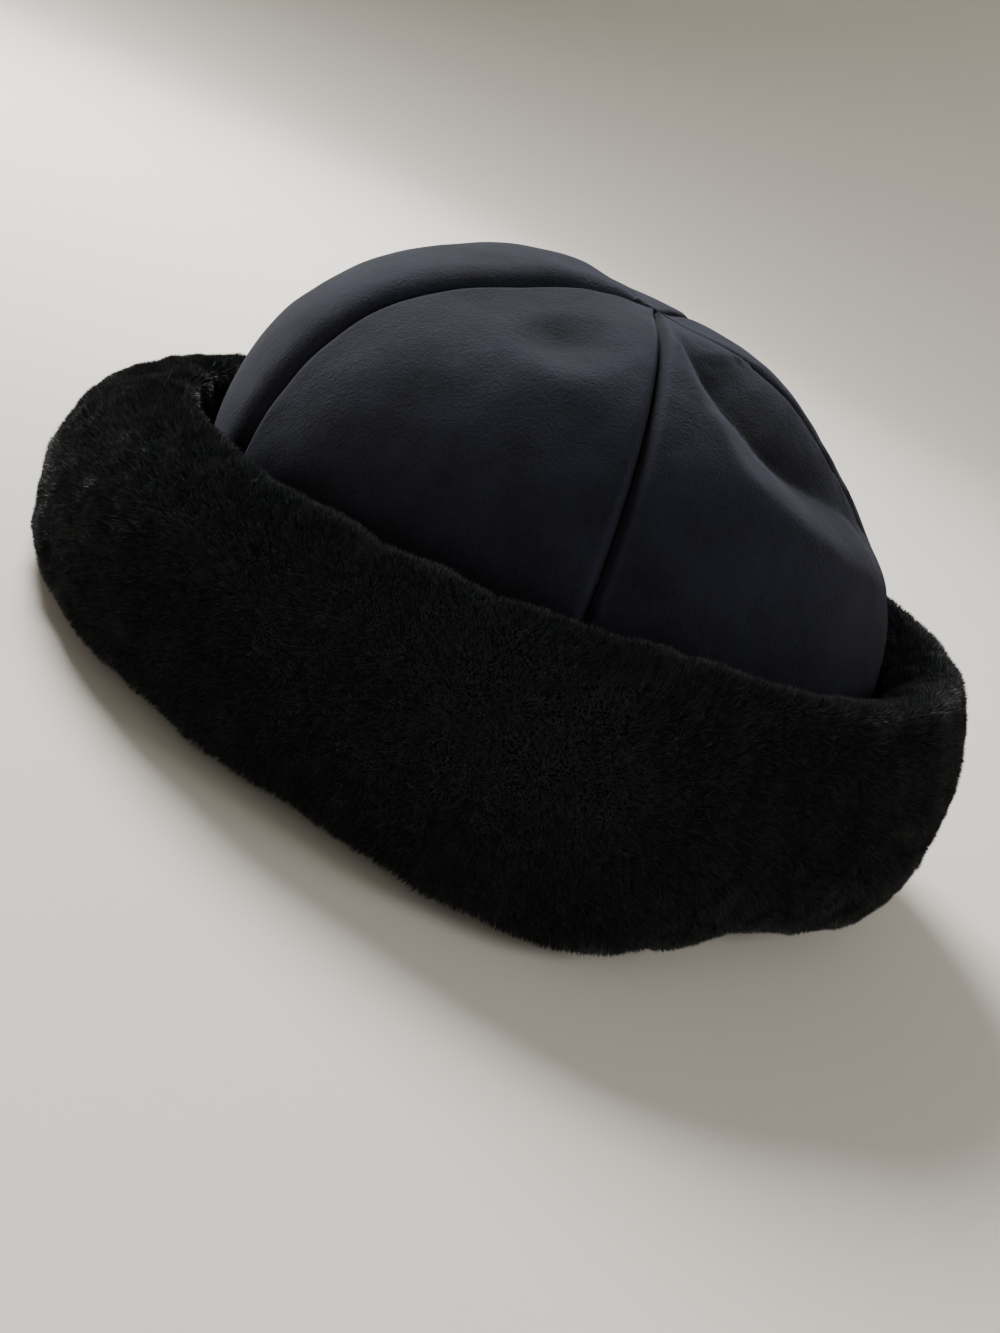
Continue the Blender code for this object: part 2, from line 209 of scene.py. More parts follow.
class HatCrownSizes(bpy.types.PropertyGroup):
    """Sizes of the crown."""
    head_half_width: size("Head Half Width", "Half the width of the head opening inside the pile", 81)
    head_half_length: size("Head Half Length", "Half the length of the head opening inside the pile", 99)
    hollow_half_width: size("Hollow Half Width", "Half the width of the crown's hollow at its widest", 91)
    hollow_half_length: size("Hollow Half Length", "Half the length of the hollow at its widest", 103)
    wide_level: size("Widest Level", "Height of the hollow's widest level", 54)
    dome_height: size("Dome Height", "Height of the dome above the widest level", 83)
    dome_lean: size("Dome Lean", "How far the top of the dome leans to the front", 3.6)
    hem_level: size("Hem Level", "Height of the gores' lower edge", 14.3)
    hem_stand: size("Hem Stand", "Height of the upright strip above the gores' lower edge", 7)
    seam_wall: size("Seam Wall", "Thickness of the crown's wall at a seam", 5)
    groove: size("Seam Groove", "Depth of the groove at a seam", 2.8)
    seam_gap: size("Seam Gap", "Gap between two gores", 0.3)
    suede: size("Suede", "Thickness of the gores' suede", 1.3)
    tip_radius: size("Tip Radius", "Radius that the gores' tips leave free", 1.3)
    fade_radius: size("Padding Fade", "Radius around the top in which the padding fades", 34)
    full_level: size("Padding Level", "Height from which the padding is full", 100)
    dent_depth: size("Dent", "Depth of the dent in the back left gore", 11)
    dent_inner: size("Dent Inner Reach", "Reach of the dent towards the top", 40)
    dent_outer: size("Dent Outer Reach", "Reach of the dent towards the cuff", 25)
    sink_depth: size("Hollow Depth", "Depth of the dome's soft hollows", 5)
    sink_radius: size("Hollow Radius", "Radius of the dome's soft hollows", 44)
    dome_round: FloatProperty(name="Plan Roundness", description="Exponent of the dome's plan", default=2.25)
    rise_round: FloatProperty(name="Rise Roundness", description="Exponent of the dome's rise", default=2.04)
    columns: IntProperty(name="Columns", description="Steps across a gore", default=60, min=8)
    rows: IntProperty(name="Rows", description="Steps up a gore's dome", default=84, min=8)


class HatSeamSizes(bpy.types.PropertyGroup):
    """Sizes of the crown's seams."""
    pitch: size("Stitch Pitch", "Distance from one stitch to the next", 2.6)
    stitch: size("Stitch Length", "Length of a stitch", 2.2)
    thread: size("Thread", "Thickness of the sewing thread", 0.5)
    tape: size("Seam Tape", "Width of the tape behind a seam", 2.4)
    knot: size("Knot Radius", "Radius of the gathered knot at the top", 2.9)
    knot_height: size("Knot Height", "Half the height of the knot", 1.6)


class HatCuffSizes(bpy.types.PropertyGroup):
    """Sizes of the cuff."""
    pile: size("Pile", "Depth of the cuff's fleece", 12)
    skin: size("Skin", "Thickness of the cuff's suede", 2)
    gap: size("Gap", "Gap between the cuff's suede and its fleece", 0.4)
    height: size("Cuff Height", "Mean height of the cuff", 72)
    tilt: size("Cuff Tilt", "How much lower the cuff is at the front, and higher at the back", 11.5)
    lip_side: size("Lip Gap, Side", "Gap from the cuff's lip to the crown at the sides", 0.9)
    lip_front: size("Lip Gap, Front", "Gap from the cuff's lip to the crown at the front", 12)
    lip_back: size("Lip Gap, Back", "Gap from the cuff's lip to the crown at the back", 14)
    bulge_side: size("Bulge, Side", "How far the cuff stands out past its lip at the sides", 14)
    bulge_front: size("Bulge, Front", "How far the cuff stands out past its lip at the front", 20)
    bulge_back: size("Bulge, Back", "How far the cuff stands out past its lip at the back", 13.5)
    bulge_level: size("Bulge Level", "Height of the cuff's widest level", 30)
    heel_side: size("Heel Inset, Side", "How far the cuff's foot lies inside its bulge at the sides", 3)
    heel_front: size("Heel Inset, Front", "How far the foot lies inside the bulge at the front", 2.5)
    heel_back: size("Heel Inset, Back", "How far the foot lies inside the bulge at the back", 7.5)
    seat_margin: size("Seat Margin", "How far the flat hem reaches past the crown's wall", 3)
    fold_lift: size("Fold Lift", "The most that the fold is lifted off the surface", 9)
    fold_tuck: size("Fold Tuck", "The most that the fold is tucked in", 9)
    edge_round: size("Edge Round", "Rounding of the fleece at the head opening", 4)
    lean: FloatProperty(name="Lean", description="Turn of the cuff's wall as it leans in to its lip",
                        default=math.radians(62), subtype="ANGLE", unit="ROTATION")
    turns: IntProperty(name="Turns", description="Steps around the cuff", default=280, min=24)


class HatPileSizes(bpy.types.PropertyGroup):
    """Sizes of the pile's strands."""
    length: size("Strand Length", "Length of the strands that show", 3.4)
    width: size("Strand Width", "Width of a strand's foot, drawn as wide as a wisp of ten fibres", 0.5)
    tuft: size("Tuft", "Width of a tuft of strands that lean together", 4.2)
    patch: size("Patch", "Width of a patch in which the pile is brushed one way", 22)
    wave: size("Wave", "Height of the soft waves of the pile's surface", 5.0)
    lining: size("Lining Strand", "Length of the strands inside the crown", 3.0)
    overhang: size("Overhang", "The most that the pile falls in over the cuff's lip", 12)
    density: FloatProperty(name="Density", description="Strands in a square metre of the cuff",
                           default=7.9e6)
    lining_density: FloatProperty(name="Lining Density", default=0.6e6,
                                  description="Strands in a square metre inside the crown")
    lean: FloatProperty(name="Lean", description="Sideways share of a strand's direction", default=0.40)
    seed: IntProperty(name="Seed", description="Seed of the strands' places", default=11)


class HatColours(bpy.types.PropertyGroup):
    """Colours of the finishes."""
    suede_light: colour("Suede, Brushed Up", "Suede where its nap stands up", "212330")
    suede_dark: colour("Suede, Brushed Down", "Suede where its nap lies down", "08090c")
    # Pale tone of the rubbed edges, which also paints a highlight on their rolls
    suede_edge: colour("Suede, Rubbed", "Suede where its edge is rubbed", "272935")
    # Painted shade down in a seam
    suede_seam_shade: colour("Suede, Deep", "Suede down in a seam", "08080c")
    # Painted shade at the strands' roots, deep in the pile
    fleece_root: colour("Fleece Root", "Strands at their foot", "040505")
    fleece_tip: colour("Fleece Tip", "Strands at their cut end", "262a2d")
    thread: colour("Thread", "Sewing thread", "1d1f2a")
    floor: colour("Floor", "Matt painted floor", "d9d4cb")


def smooth(value):
    """Soft step from 0 to 1."""
    value = np.clip(value, 0.0, 1.0)
    return value * value * (3 - 2 * value)


def unit(vectors):
    """Vectors at length 1."""
    return vectors / np.linalg.norm(vectors, axis=-1, keepdims=True)


def ripple(points, height, width, seed):
    """Smooth noise of that height at each point, with bumps about as wide as width."""
    start = Vector((seed, 2.7 * seed, -1.3 * seed))
    values = [noise.noise(Vector(point) / width + start) for point in points.reshape(-1, 3)]
    return height * np.array(values).reshape(points.shape[:-1])


def even_turns(steps):
    """Even turns around the hat in radians, from the front."""
    return np.arange(steps) * math.tau / steps


def ellipse(turn, half_width, half_length, centre=0.0):
    """Plan position at a turn in radians on an ellipse centred on the hat's middle line."""
    return np.stack([half_width * np.sin(turn), centre - half_length * np.cos(turn)], -1)


def hat_middle(crown, cuff):
    """Place of the hat's own axis on the floor, read from the round edge of the head opening."""
    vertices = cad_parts["brim_fleece"].data.vertices
    edge = np.array([v.co[:2] for v in vertices if abs(v.co.z - cuff.edge_round) < 0.01 * MM])
    return np.append(edge.min(0) + (crown.head_half_width, crown.head_half_length), 0.0)


def crown_point(crown, turn, way):
    """Point on the crown's hollow at a turn in radians and a way."""
    foot = crown.hem_level + crown.hem_stand
    level = crown.hem_level + (crown.wide_level - crown.hem_level) * np.clip(way, 0, 1)
    swell = np.sin(np.clip((level - foot) / (crown.wide_level - foot), 0, 1) * math.pi / 2)
    rise = np.clip(way - 1, 0, 1) * math.pi / 2
    out = np.clip(np.cos(rise), 0, 1) ** (2 / crown.dome_round)
    up = np.clip(np.sin(rise), 0, 1) ** (2 / crown.rise_round)
    half_width = crown.head_half_width + (crown.hollow_half_width - crown.head_half_width) * swell
    half_length = crown.head_half_length + (crown.hollow_half_length - crown.head_half_length) * swell
    x = half_width * out * np.sin(turn)
    y = -half_length * out * np.cos(turn) - crown.dome_lean * up
    return np.stack([x, y, level + crown.dome_height * up], -1)


def crown_normal(crown, turn, way):
    """Outward direction of the crown's hollow, by small steps along the turn and the way."""
    step = 1e-3
    low, high = np.clip(way - step, 0, 1.999), np.clip(way + step, 0, 1.999)
    around = crown_point(crown, turn + step, way) - crown_point(crown, turn - step, way)
    along = crown_point(crown, turn, high) - crown_point(crown, turn, low)
    return unit(np.cross(around, along))


def dome_rise(crown, radius):
    """Share of the rise up the dome at which it is that wide around its top."""
    return math.acos((radius / crown.hollow_half_width) ** (crown.dome_round / 2)) / (math.pi / 2)


def clear_of_top(crown, points):
    """Soft step from 0 at the top of the crown to 1 where the padding no longer fades."""
    return smooth(np.hypot(points[..., 0], points[..., 1]) / crown.fade_radius)


def padding_share(crown, level):
    """Share of the full padding at each level, from 0 at the hem."""
    return smooth((level - crown.hem_level) / (crown.full_level - crown.hem_level))


def dent_depth(crown, turn, way, points):
    """Depth of the back left dent at each point, and where the face of its scoop lies, from 0 to 1.

    The dent is a scoop down to its valley and a ledge from there up to a ridge.
    """
    table = np.array(DENT_VALLEY, float)
    knots = np.radians(table[:, :2])
    route = crown_point(crown, knots[:, 0], 1 + knots[:, 1] / (math.pi / 2))
    rise = np.clip(way - 1, 0, 1) * math.pi / 2
    depth, face = np.zeros(points.shape[:-1]), np.zeros(points.shape[:-1])
    nearest = np.full(points.shape[:-1], np.inf)
    for i in range(len(route) - 1):
        step = route[i + 1] - route[i]
        along = np.clip(((points - route[i]) @ step) / (step @ step), 0.0, 1.0)
        apart = np.linalg.norm(points - route[i] - along[..., None] * step, axis=-1)
        run = knots[i + 1] - knots[i]
        inside = run[0] * (rise - knots[i, 1]) - run[1] * (turn - knots[i, 0]) > 0
        share = table[i, 2:] + (table[i + 1, 2:] - table[i, 2:]) * along[..., None]
        reach = np.where(inside, crown.dent_inner, crown.dent_outer * share[..., 1])
        fall = 1 - np.clip(apart / reach, 0, 1)
        scoop = SCOOP_SOFT * smooth(fall) + (1 - SCOOP_SOFT) * fall ** SCOOP_POWER
        ledge = np.sqrt(fall ** 2 + LEDGE_SOFT ** 2) - LEDGE_SOFT
        ledge = ledge / (math.sqrt(1 + LEDGE_SOFT ** 2) - LEDGE_SOFT)
        here = crown.dent_depth * share[..., 0] * np.where(inside, scoop, ledge)
        depth = np.where(apart < nearest, here, depth)
        face = np.where(apart < nearest, share[..., 0] * inside * smooth(1.5 * fall), face)
        nearest = np.minimum(nearest, apart)
    return depth, face


def sink_depth(crown, points):
    """Depth of the dome's soft hollows, each of which fades to nothing at its radius."""
    depth = np.zeros(points.shape[:-1])
    for turn, rise, depth_share, radius_share in SINKS:
        centre = crown_point(crown, np.array(math.radians(turn)), np.array(1 + rise / 90))
        apart = np.linalg.norm(points - centre, axis=-1)
        depth += crown.sink_depth * depth_share * (1 - smooth(apart / (crown.sink_radius * radius_share)))
    return depth


def new_object(name, points, faces, material=None):
    """Mesh object at the origin, shaded smooth, with its place in its mesh and a finish by name."""
    mesh = bpy.data.meshes.new(name)
    mesh.from_pydata(points.reshape(-1, 3).tolist(), [], faces)
    if material:
        mesh.materials.append(finish(material))
    mesh.shade_smooth()
    body = bpy.data.objects.new(name, mesh)
    bpy.context.scene.collection.objects.link(body)
    return body


def grid_faces(rows, columns, close_rows=False, close_columns=False):
    """Quads of a grid numbered row by row; a closed way joins its last line to its first."""
    faces = []
    for row in range(rows if close_rows else rows - 1):
        above = (row + 1) % rows
        for column in range(columns if close_columns else columns - 1):
            beside = (column + 1) % columns
            faces.append((row * columns + column, row * columns + beside,
                          above * columns + beside, above * columns + column))
    return faces


def add_wall(body, thickness):
    """Solidify modifier that thickens an open surface inwards."""
    wall = body.modifiers.new("wall", "SOLIDIFY")
    wall.thickness = thickness
    wall.offset = -1
    wall.use_quality_normals = True


def store(body, name, values, kind="FLOAT", domain="POINT"):
    """Named attribute of a mesh, one value for each point or face."""
    attribute = body.data.attributes.new(name, kind, domain)
    attribute.data.foreach_set("vector" if kind == "FLOAT_VECTOR" else "value",
                               np.ascontiguousarray(values).ravel())


def mark_wear_and_light(body, rubbed_and_lit=0.0, painted_seam_shade=0.0, painted_top_light=0.0):
    """Stores the marks that the suede's finish reads, each one value or one for each point: rubbed wear with
    a painted highlight, painted shade in the seams and painted light on the top.
    """
    for name, values in (("rubbed_and_lit", rubbed_and_lit), ("painted_seam_shade", painted_seam_shade), ("painted_top_light", painted_top_light)):
        store(body, name, np.broadcast_to(np.ravel(values), len(body.data.vertices)))


def place(body, slot, *nodes):
    """Puts a finished piece on the hat: its body, and hides the solids that it stands for. Its slot is not
    used.
    """
    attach(body, "root")
    if nodes:
        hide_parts(*nodes)


def set_inputs(node, values):
    """Sets a node's inputs by name or number, each to a value, an output or the first output of a node."""
    for name, source in values.items():
        socket = node.inputs[name]
        if isinstance(source, bpy.types.Node):
            source = source.outputs[0]
        if isinstance(source, bpy.types.NodeSocket):
            node.id_data.links.new(source, socket)
        else:
            socket.default_value = source


def add_node(tree, kind, inputs=None, **settings):
    """Adds a node to a tree, with its settings and then its inputs."""
    node = tree.nodes.new(kind)
    for name, value in settings.items():
        setattr(node, name, value)
    set_inputs(node, inputs or {})
    return node


def new_material(name):
    """Material with an empty tree but for its Principled shader, and that shader."""
    material = bpy.data.materials.new(name)
    material.use_nodes = True
    return material, material.node_tree, material.node_tree.nodes["Principled BSDF"]


def rgba(values):
    """Colour property as a node socket takes it."""
    return (*values, 1.0)


def suede_material(colours):
    """Split sheepskin, dyed navy and brushed: matt, with a nap that catches light where it is ruffled."""
    material, tree, shader = new_material("suede_brushed_navy")
    place_at = add_node(tree, "ShaderNodeTexCoord").outputs["Object"]
    painted_top_light, rubbed_and_lit, painted_seam_shade = (add_node(tree, "ShaderNodeAttribute", attribute_name=name).outputs["Fac"]
                           for name in ("painted_top_light", "rubbed_and_lit", "painted_seam_shade"))
    # Brushed patches 15 mm across
    patches = add_node(tree, "ShaderNodeTexNoise", {"Vector": place_at, "Scale": 1 / (15 * MM), "Detail": 5.0,
                                                    "Roughness": 0.62})
    # Nap of 0.9 mm wisps, drawn coarser than its fibres so that it shows
    nap = add_node(tree, "ShaderNodeTexNoise", {"Vector": place_at, "Scale": 1 / (0.9 * MM), "Detail": 3.0,
                                                "Roughness": 0.7})
    mixed = add_node(tree, "ShaderNodeMath", {0: patches, 1: 1.2, 2: nap}, operation="MULTIPLY_ADD")
    # Painted light on the top, which leaves the lower crown darker, as painted shade
    mixed = add_node(tree, "ShaderNodeMath", {0: painted_top_light, 1: 0.5, 2: mixed}, operation="MULTIPLY_ADD")
    share = add_node(tree, "ShaderNodeMapRange", {"Value": mixed, "From Min": 0.92, "From Max": 2.05})
    dyed = add_node(tree, "ShaderNodeMix", {"Factor": share, 6: rgba(colours.suede_dark),
                                            7: rgba(colours.suede_light)}, data_type="RGBA")
    # Pale edges at the seams, rubbed wear with a painted highlight, then painted shade down in the seams
    for mark, tone in ((rubbed_and_lit, colours.suede_edge), (painted_seam_shade, colours.suede_seam_shade)):
        dyed = add_node(tree, "ShaderNodeMix", {"Factor": mark, 6: dyed.outputs[2], 7: rgba(tone)},
                        data_type="RGBA")
    height = add_node(tree, "ShaderNodeMath", {0: patches, 1: 1.5, 2: nap}, operation="MULTIPLY_ADD")
    bump = add_node(tree, "ShaderNodeBump", {"Height": height, "Strength": 0.9, "Distance": 0.5 * MM})
    set_inputs(shader, {"Base Color": dyed.outputs[2], "Normal": bump, "Roughness": 0.95,
                        "Specular IOR Level": 0.12, "Sheen Weight": 0.07, "Sheen Roughness": 0.5,
                        "Sheen Tint": (0.62, 0.66, 0.86, 1.0)})
    return material


def strand_material(colours):
    """Dyed sheepskin fibre, sheared level: near black, with a soft cool gloss along each fibre."""
    material, tree, shader = new_material("fleece_sheared_black")
    along, shade = (add_node(tree, "ShaderNodeAttribute", attribute_name=name).outputs["Fac"]
                    for name in ("along", "shade"))
    # Painted shade: each strand darker towards its root, deep in the pile, and paler at its tip by its tone
    lit = add_node(tree, "ShaderNodeMath", {0: along, 1: shade}, operation="MULTIPLY")
    dyed = add_node(tree, "ShaderNodeMix", {"Factor": lit, 6: rgba(colours.fleece_root),
                                            7: rgba(colours.fleece_tip)}, data_type="RGBA")
    set_inputs(shader, {"Base Color": dyed.outputs[2], "Roughness": 0.55, "Specular IOR Level": 0.45,
                        "Sheen Weight": 0.2, "Sheen Roughness": 0.4, "Sheen Tint": (0.70, 0.80, 0.86, 1.0)})
    return material


def backing_material(colours):
    """Foot of the fleece, painted near black as the shade among its fibres, which stand so close that hardly
    any light comes back.
    """
    material, tree, shader = new_material("fleece_foot")
    place_at = add_node(tree, "ShaderNodeTexCoord").outputs["Object"]
    # Wisps 1.5 mm across
    wisps = add_node(tree, "ShaderNodeTexNoise", {"Vector": place_at, "Scale": 1 / (1.5 * MM), "Detail": 4.0})
    tip = rgba([0.5 * value for value in colours.fleece_tip])
    dyed = add_node(tree, "ShaderNodeMix", {"Factor": wisps, 6: rgba(colours.fleece_root), 7: tip},
                    data_type="RGBA")
    bump = add_node(tree, "ShaderNodeBump", {"Height": wisps, "Strength": 0.8, "Distance": 0.8 * MM})
    set_inputs(shader, {"Base Color": dyed.outputs[2], "Normal": bump, "Roughness": 0.95})
    return material


def thread_material(colours):
    """Twisted polyester sewing thread, dyed navy: a little glossier than the suede."""
    material, tree, shader = new_material("thread_polyester_navy")
    place_at = add_node(tree, "ShaderNodeTexCoord").outputs["Object"]
    # Twist of 0.3 mm plies
    plies = add_node(tree, "ShaderNodeTexWave", {"Vector": place_at, "Scale": 1 / (0.3 * MM) / 20})
    dark = rgba([0.6 * value for value in colours.thread])
    dyed = add_node(tree, "ShaderNodeMix", {"Factor": plies.outputs["Fac"], 6: dark, 7: rgba(colours.thread)},
                    data_type="RGBA")
    set_inputs(shader, {"Base Color": dyed.outputs[2], "Roughness": 0.6})
    return material


def floor_material(colours):
    """Matt painted board, pale and plain."""
    material, _, shader = new_material("floor_matt_paint")
    set_inputs(shader, {"Base Color": rgba(colours.floor), "Roughness": 0.9, "Specular IOR Level": 0.1})
    return material


FINISHES = {
    "suede_brushed_navy": suede_material,
    "fleece_sheared_black": strand_material,
    "fleece_foot": backing_material,
    "thread_polyester_navy": thread_material,
    "floor_matt_paint": floor_material,
}


def finish(name):
    """Material by name, made when it is first asked for."""
    return bpy.data.materials.get(name) or FINISHES[name](bpy.context.scene.hat_colours)


def new_tree(name, inputs):
    """Geometry tree with a geometry in and out and more inputs by kind, and the outputs that give them."""
    tree = bpy.data.node_groups.new(name, "GeometryNodeTree")
    tree.is_modifier = True
    for kind, names in {"Geometry": ("Geometry",), **inputs}.items():
        for socket in names:
            tree.interface.new_socket(socket, in_out="INPUT", socket_type="NodeSocket" + kind)
    tree.interface.new_socket("Geometry", in_out="OUTPUT", socket_type="NodeSocketGeometry")
    return tree, add_node(tree, "NodeGroupInput").outputs


def strand_tree():
    """Geometry tree that grows a sheared fleece on a surface: flat wisps that lean together in tufts."""
    tree, given = new_tree("sheared_fleece", {
        "Float": ("Density", "Length", "Width", "Lean", "Tuft", "Patch", "Wave"),
        "Int": ("Quarter", "Seed"),
        "Material": ("Finish",),
    })
    where = add_node(tree, "GeometryNodeInputPosition").outputs[0]
    # Scales of the waves, of the brushed patches, of the tufts and of the loose wisps between them
    wave_scale, patch_scale, tuft_scale, loose_scale = (
        add_node(tree, "ShaderNodeMath", {0: share, 1: given[name]}, operation="DIVIDE")
        for share, name in ((1.5, "Patch"), (1.0, "Patch"), (1.0, "Tuft"), (0.6, "Tuft")))

    # The surface swells and sinks in soft waves of two thirds of a patch, and smaller ones on them
    waves = add_node(tree, "ShaderNodeTexNoise", {"Vector": where, "Scale": wave_scale, "Detail": 2.0,
                                                  "Roughness": 0.55})
    lift = add_node(tree, "ShaderNodeMath", {0: waves, 1: 0.5}, operation="SUBTRACT")
    lift = add_node(tree, "ShaderNodeMath", {0: lift, 1: given["Wave"]}, operation="MULTIPLY")
    facing = add_node(tree, "GeometryNodeInputNormal")
    lift = add_node(tree, "ShaderNodeVectorMath", {0: facing, "Scale": lift}, operation="SCALE")
    waved = add_node(tree, "GeometryNodeSetPosition", {"Geometry": given["Geometry"], "Offset": lift})

    # Roots of the strands
    quarter = add_node(tree, "GeometryNodeInputNamedAttribute", {"Name": "quarter"}, data_type="INT")
    mine = add_node(tree, "FunctionNodeCompare", {"A": quarter.outputs["Attribute"], "B": given["Quarter"]},
                    data_type="INT", operation="EQUAL")
    closeness, reach = (add_node(tree, "GeometryNodeInputNamedAttribute", {"Name": name}, data_type="FLOAT")
                        for name in ("closeness", "reach"))
    many = add_node(tree, "ShaderNodeMath", {0: closeness, 1: given["Density"]}, operation="MULTIPLY")
    roots = add_node(tree, "GeometryNodeDistributePointsOnFaces",
                     {"Mesh": waved, "Selection": mine, "Density": many, "Seed": given["Seed"]},
                     distribute_method="RANDOM")

    # Direction: out, towards the middle of the tuft, and brushed one way in each patch
    tufts = add_node(tree, "ShaderNodeTexVoronoi", {"Vector": where, "Scale": tuft_scale})
    inward = add_node(tree, "ShaderNodeVectorMath", {0: tufts.outputs["Position"], 1: where},
                      operation="SUBTRACT")
    inward = add_node(tree, "ShaderNodeVectorMath", {0: inward, "Scale": tuft_scale}, operation="SCALE")
    inward = add_node(tree, "ShaderNodeVectorMath", {0: inward, 1: (0.55, 0.55, 0.55)}, operation="MULTIPLY")
    loose, brushed = (add_node(tree, "ShaderNodeTexNoise", {"Vector": where, "Scale": scale, "Detail": 2.0})
                      for scale in (loose_scale, patch_scale))
    loose, brushed = (add_node(tree, "ShaderNodeVectorMath", {0: waver.outputs["Color"], 1: (0.5, 0.5, 0.5)},
                               operation="SUBTRACT") for waver in (loose, brushed))
    inward = add_node(tree, "ShaderNodeVectorMath", {0: loose, 1: (3.2, 3.2, 3.2), 2: inward},
                      operation="MULTIPLY_ADD")
    brushed = add_node(tree, "ShaderNodeVectorMath", {0: brushed, "Scale": 3.0}, operation="SCALE")
    stray = add_node(tree, "FunctionNodeRandomValue",
                     {0: (-0.6, -0.6, -0.6), 1: (0.6, 0.6, 0.6), "Seed": given["Seed"]},
                     data_type="FLOAT_VECTOR")
    aside = add_node(tree, "ShaderNodeVectorMath", {0: inward, 1: brushed}, operation="ADD")
    aside = add_node(tree, "ShaderNodeVectorMath", {0: aside, 1: stray}, operation="ADD")
    aside = add_node(tree, "ShaderNodeVectorMath", {0: aside, "Scale": given["Lean"]}, operation="SCALE")
    aim = add_node(tree, "ShaderNodeVectorMath", {0: aside, 1: roots.outputs["Normal"]}, operation="ADD")
    turned = add_node(tree, "FunctionNodeAlignRotationToVector", {"Vector": aim}, axis="Z")
    twist = add_node(tree, "FunctionNodeRandomValue", {3: math.tau, "Seed": given["Seed"]}, data_type="FLOAT")
    spin = add_node(tree, "FunctionNodeAxisAngleToRotation", {"Axis": (0, 0, 1), "Angle": twist.outputs[1]})
    turned = add_node(tree, "FunctionNodeRotateRotation", {"Rotation": turned, "Rotate By": spin},
                      rotation_space="LOCAL")

    # One strand: a blade with one face, wide at its foot, that remembers where on it each point is
    strand = add_node(tree, "GeometryNodeMeshCircle", {"Vertices": 3, "Radius": 1.0}, fill_type="NGON")
    corner = add_node(tree, "ShaderNodeSeparateXYZ", {0: where})
    up = add_node(tree, "ShaderNodeMapRange", {"Value": corner.outputs["X"], "From Min": -0.5,
                                               "From Max": 1.0})
    across = add_node(tree, "ShaderNodeMath", {0: corner.outputs["Y"], 1: 3 ** -0.5}, operation="MULTIPLY")
    for name, value in (("along", up), ("aside", across)):
        strand = add_node(tree, "GeometryNodeStoreNamedAttribute",
                          {"Geometry": strand, "Name": name, "Value": value},
                          data_type="FLOAT", domain="POINT")
    stood = add_node(tree, "ShaderNodeCombineXYZ", {"X": across, "Z": up})
    strand = add_node(tree, "GeometryNodeSetPosition", {"Geometry": strand, "Position": stood})

    # Lengths differ a little between strands and between tufts
    own = add_node(tree, "FunctionNodeRandomValue", {2: 0.82, 3: 1.06, "Seed": given["Seed"]},
                   data_type="FLOAT")
    tuft_tone = add_node(tree, "ShaderNodeSeparateXYZ", {0: tufts.outputs["Color"]})
    tuft_length = add_node(tree, "ShaderNodeMapRange", {"Value": tuft_tone, "To Min": 0.86, "To Max": 1.06})
    long = own.outputs[1]
    for share in (tuft_length, reach, given["Length"]):
        long = add_node(tree, "ShaderNodeMath", {0: long, 1: share}, operation="MULTIPLY")
    measure = add_node(tree, "ShaderNodeCombineXYZ", {"X": given["Width"], "Y": 1.0, "Z": long})
    grown = add_node(tree, "GeometryNodeInstanceOnPoints",
                     {"Points": roots, "Instance": strand, "Rotation": turned, "Scale": measure})

    # Tone of each strand, in mottled patches, and paler on top as a painted highlight where the roll faces up
    mottle = add_node(tree, "ShaderNodeTexNoise", {"Vector": where, "Scale": patch_scale, "Detail": 4.0})
    mottle = add_node(tree, "ShaderNodeMapRange", {"Value": mottle, "From Min": 0.40, "From Max": 0.66,
                                                   "To Max": 0.62})
    level = add_node(tree, "ShaderNodeSeparateXYZ", {0: roots.outputs["Normal"]})
    fleece_top_light = add_node(tree, "ShaderNodeMapRange", {"Value": level.outputs["Z"], "From Min": 0.15,
                                                     "From Max": 0.9, "To Max": 0.5})
    mottle = add_node(tree, "ShaderNodeMath", {0: mottle, 1: fleece_top_light}, operation="ADD")
    tone = add_node(tree, "FunctionNodeRandomValue", {"Seed": given["Seed"]}, data_type="FLOAT")
    tone = add_node(tree, "ShaderNodeMath", {0: tone.outputs[1], 1: 0.2, 2: mottle},
                    operation="MULTIPLY_ADD")
    toned = add_node(tree, "GeometryNodeStoreNamedAttribute",
                     {"Geometry": grown, "Name": "shade", "Value": tone},
                     data_type="FLOAT", domain="INSTANCE")
    real = add_node(tree, "GeometryNodeRealizeInstances", {"Geometry": toned})

    # No strand reaches below the floor
    spot = add_node(tree, "ShaderNodeSeparateXYZ", {0: where})
    held = add_node(tree, "ShaderNodeMath", {0: spot.outputs["Z"], 1: 0.2 * MM}, operation="MAXIMUM")
    spot = add_node(tree, "ShaderNodeCombineXYZ", {"X": spot.outputs["X"], "Y": spot.outputs["Y"], "Z": held})
    above = add_node(tree, "GeometryNodeSetPosition", {"Geometry": real, "Position": spot})

    # Map in which all strands of one shade lie on each other, so that their colours can be baked into it
    along, aside, shade = (add_node(tree, "GeometryNodeInputNamedAttribute", {"Name": name},
                                    data_type="FLOAT") for name in ("along", "aside", "shade"))
    beside = add_node(tree, "ShaderNodeMath", {0: aside, 1: 0.08, 2: shade}, operation="MULTIPLY_ADD")
    spread = add_node(tree, "ShaderNodeMapRange", {"Value": beside, "To Min": 0.05, "To Max": 0.95})
    flat = add_node(tree, "ShaderNodeCombineXYZ", {"X": spread, "Y": along})
    mapped = add_node(tree, "GeometryNodeStoreNamedAttribute",
                      {"Geometry": above, "Name": "OFBake", "Value": flat},
                      data_type="FLOAT2", domain="CORNER")
    dyed = add_node(tree, "GeometryNodeSetMaterial", {"Geometry": mapped, "Material": given["Finish"]})
    add_node(tree, "NodeGroupOutput", {0: dyed})
    return tree


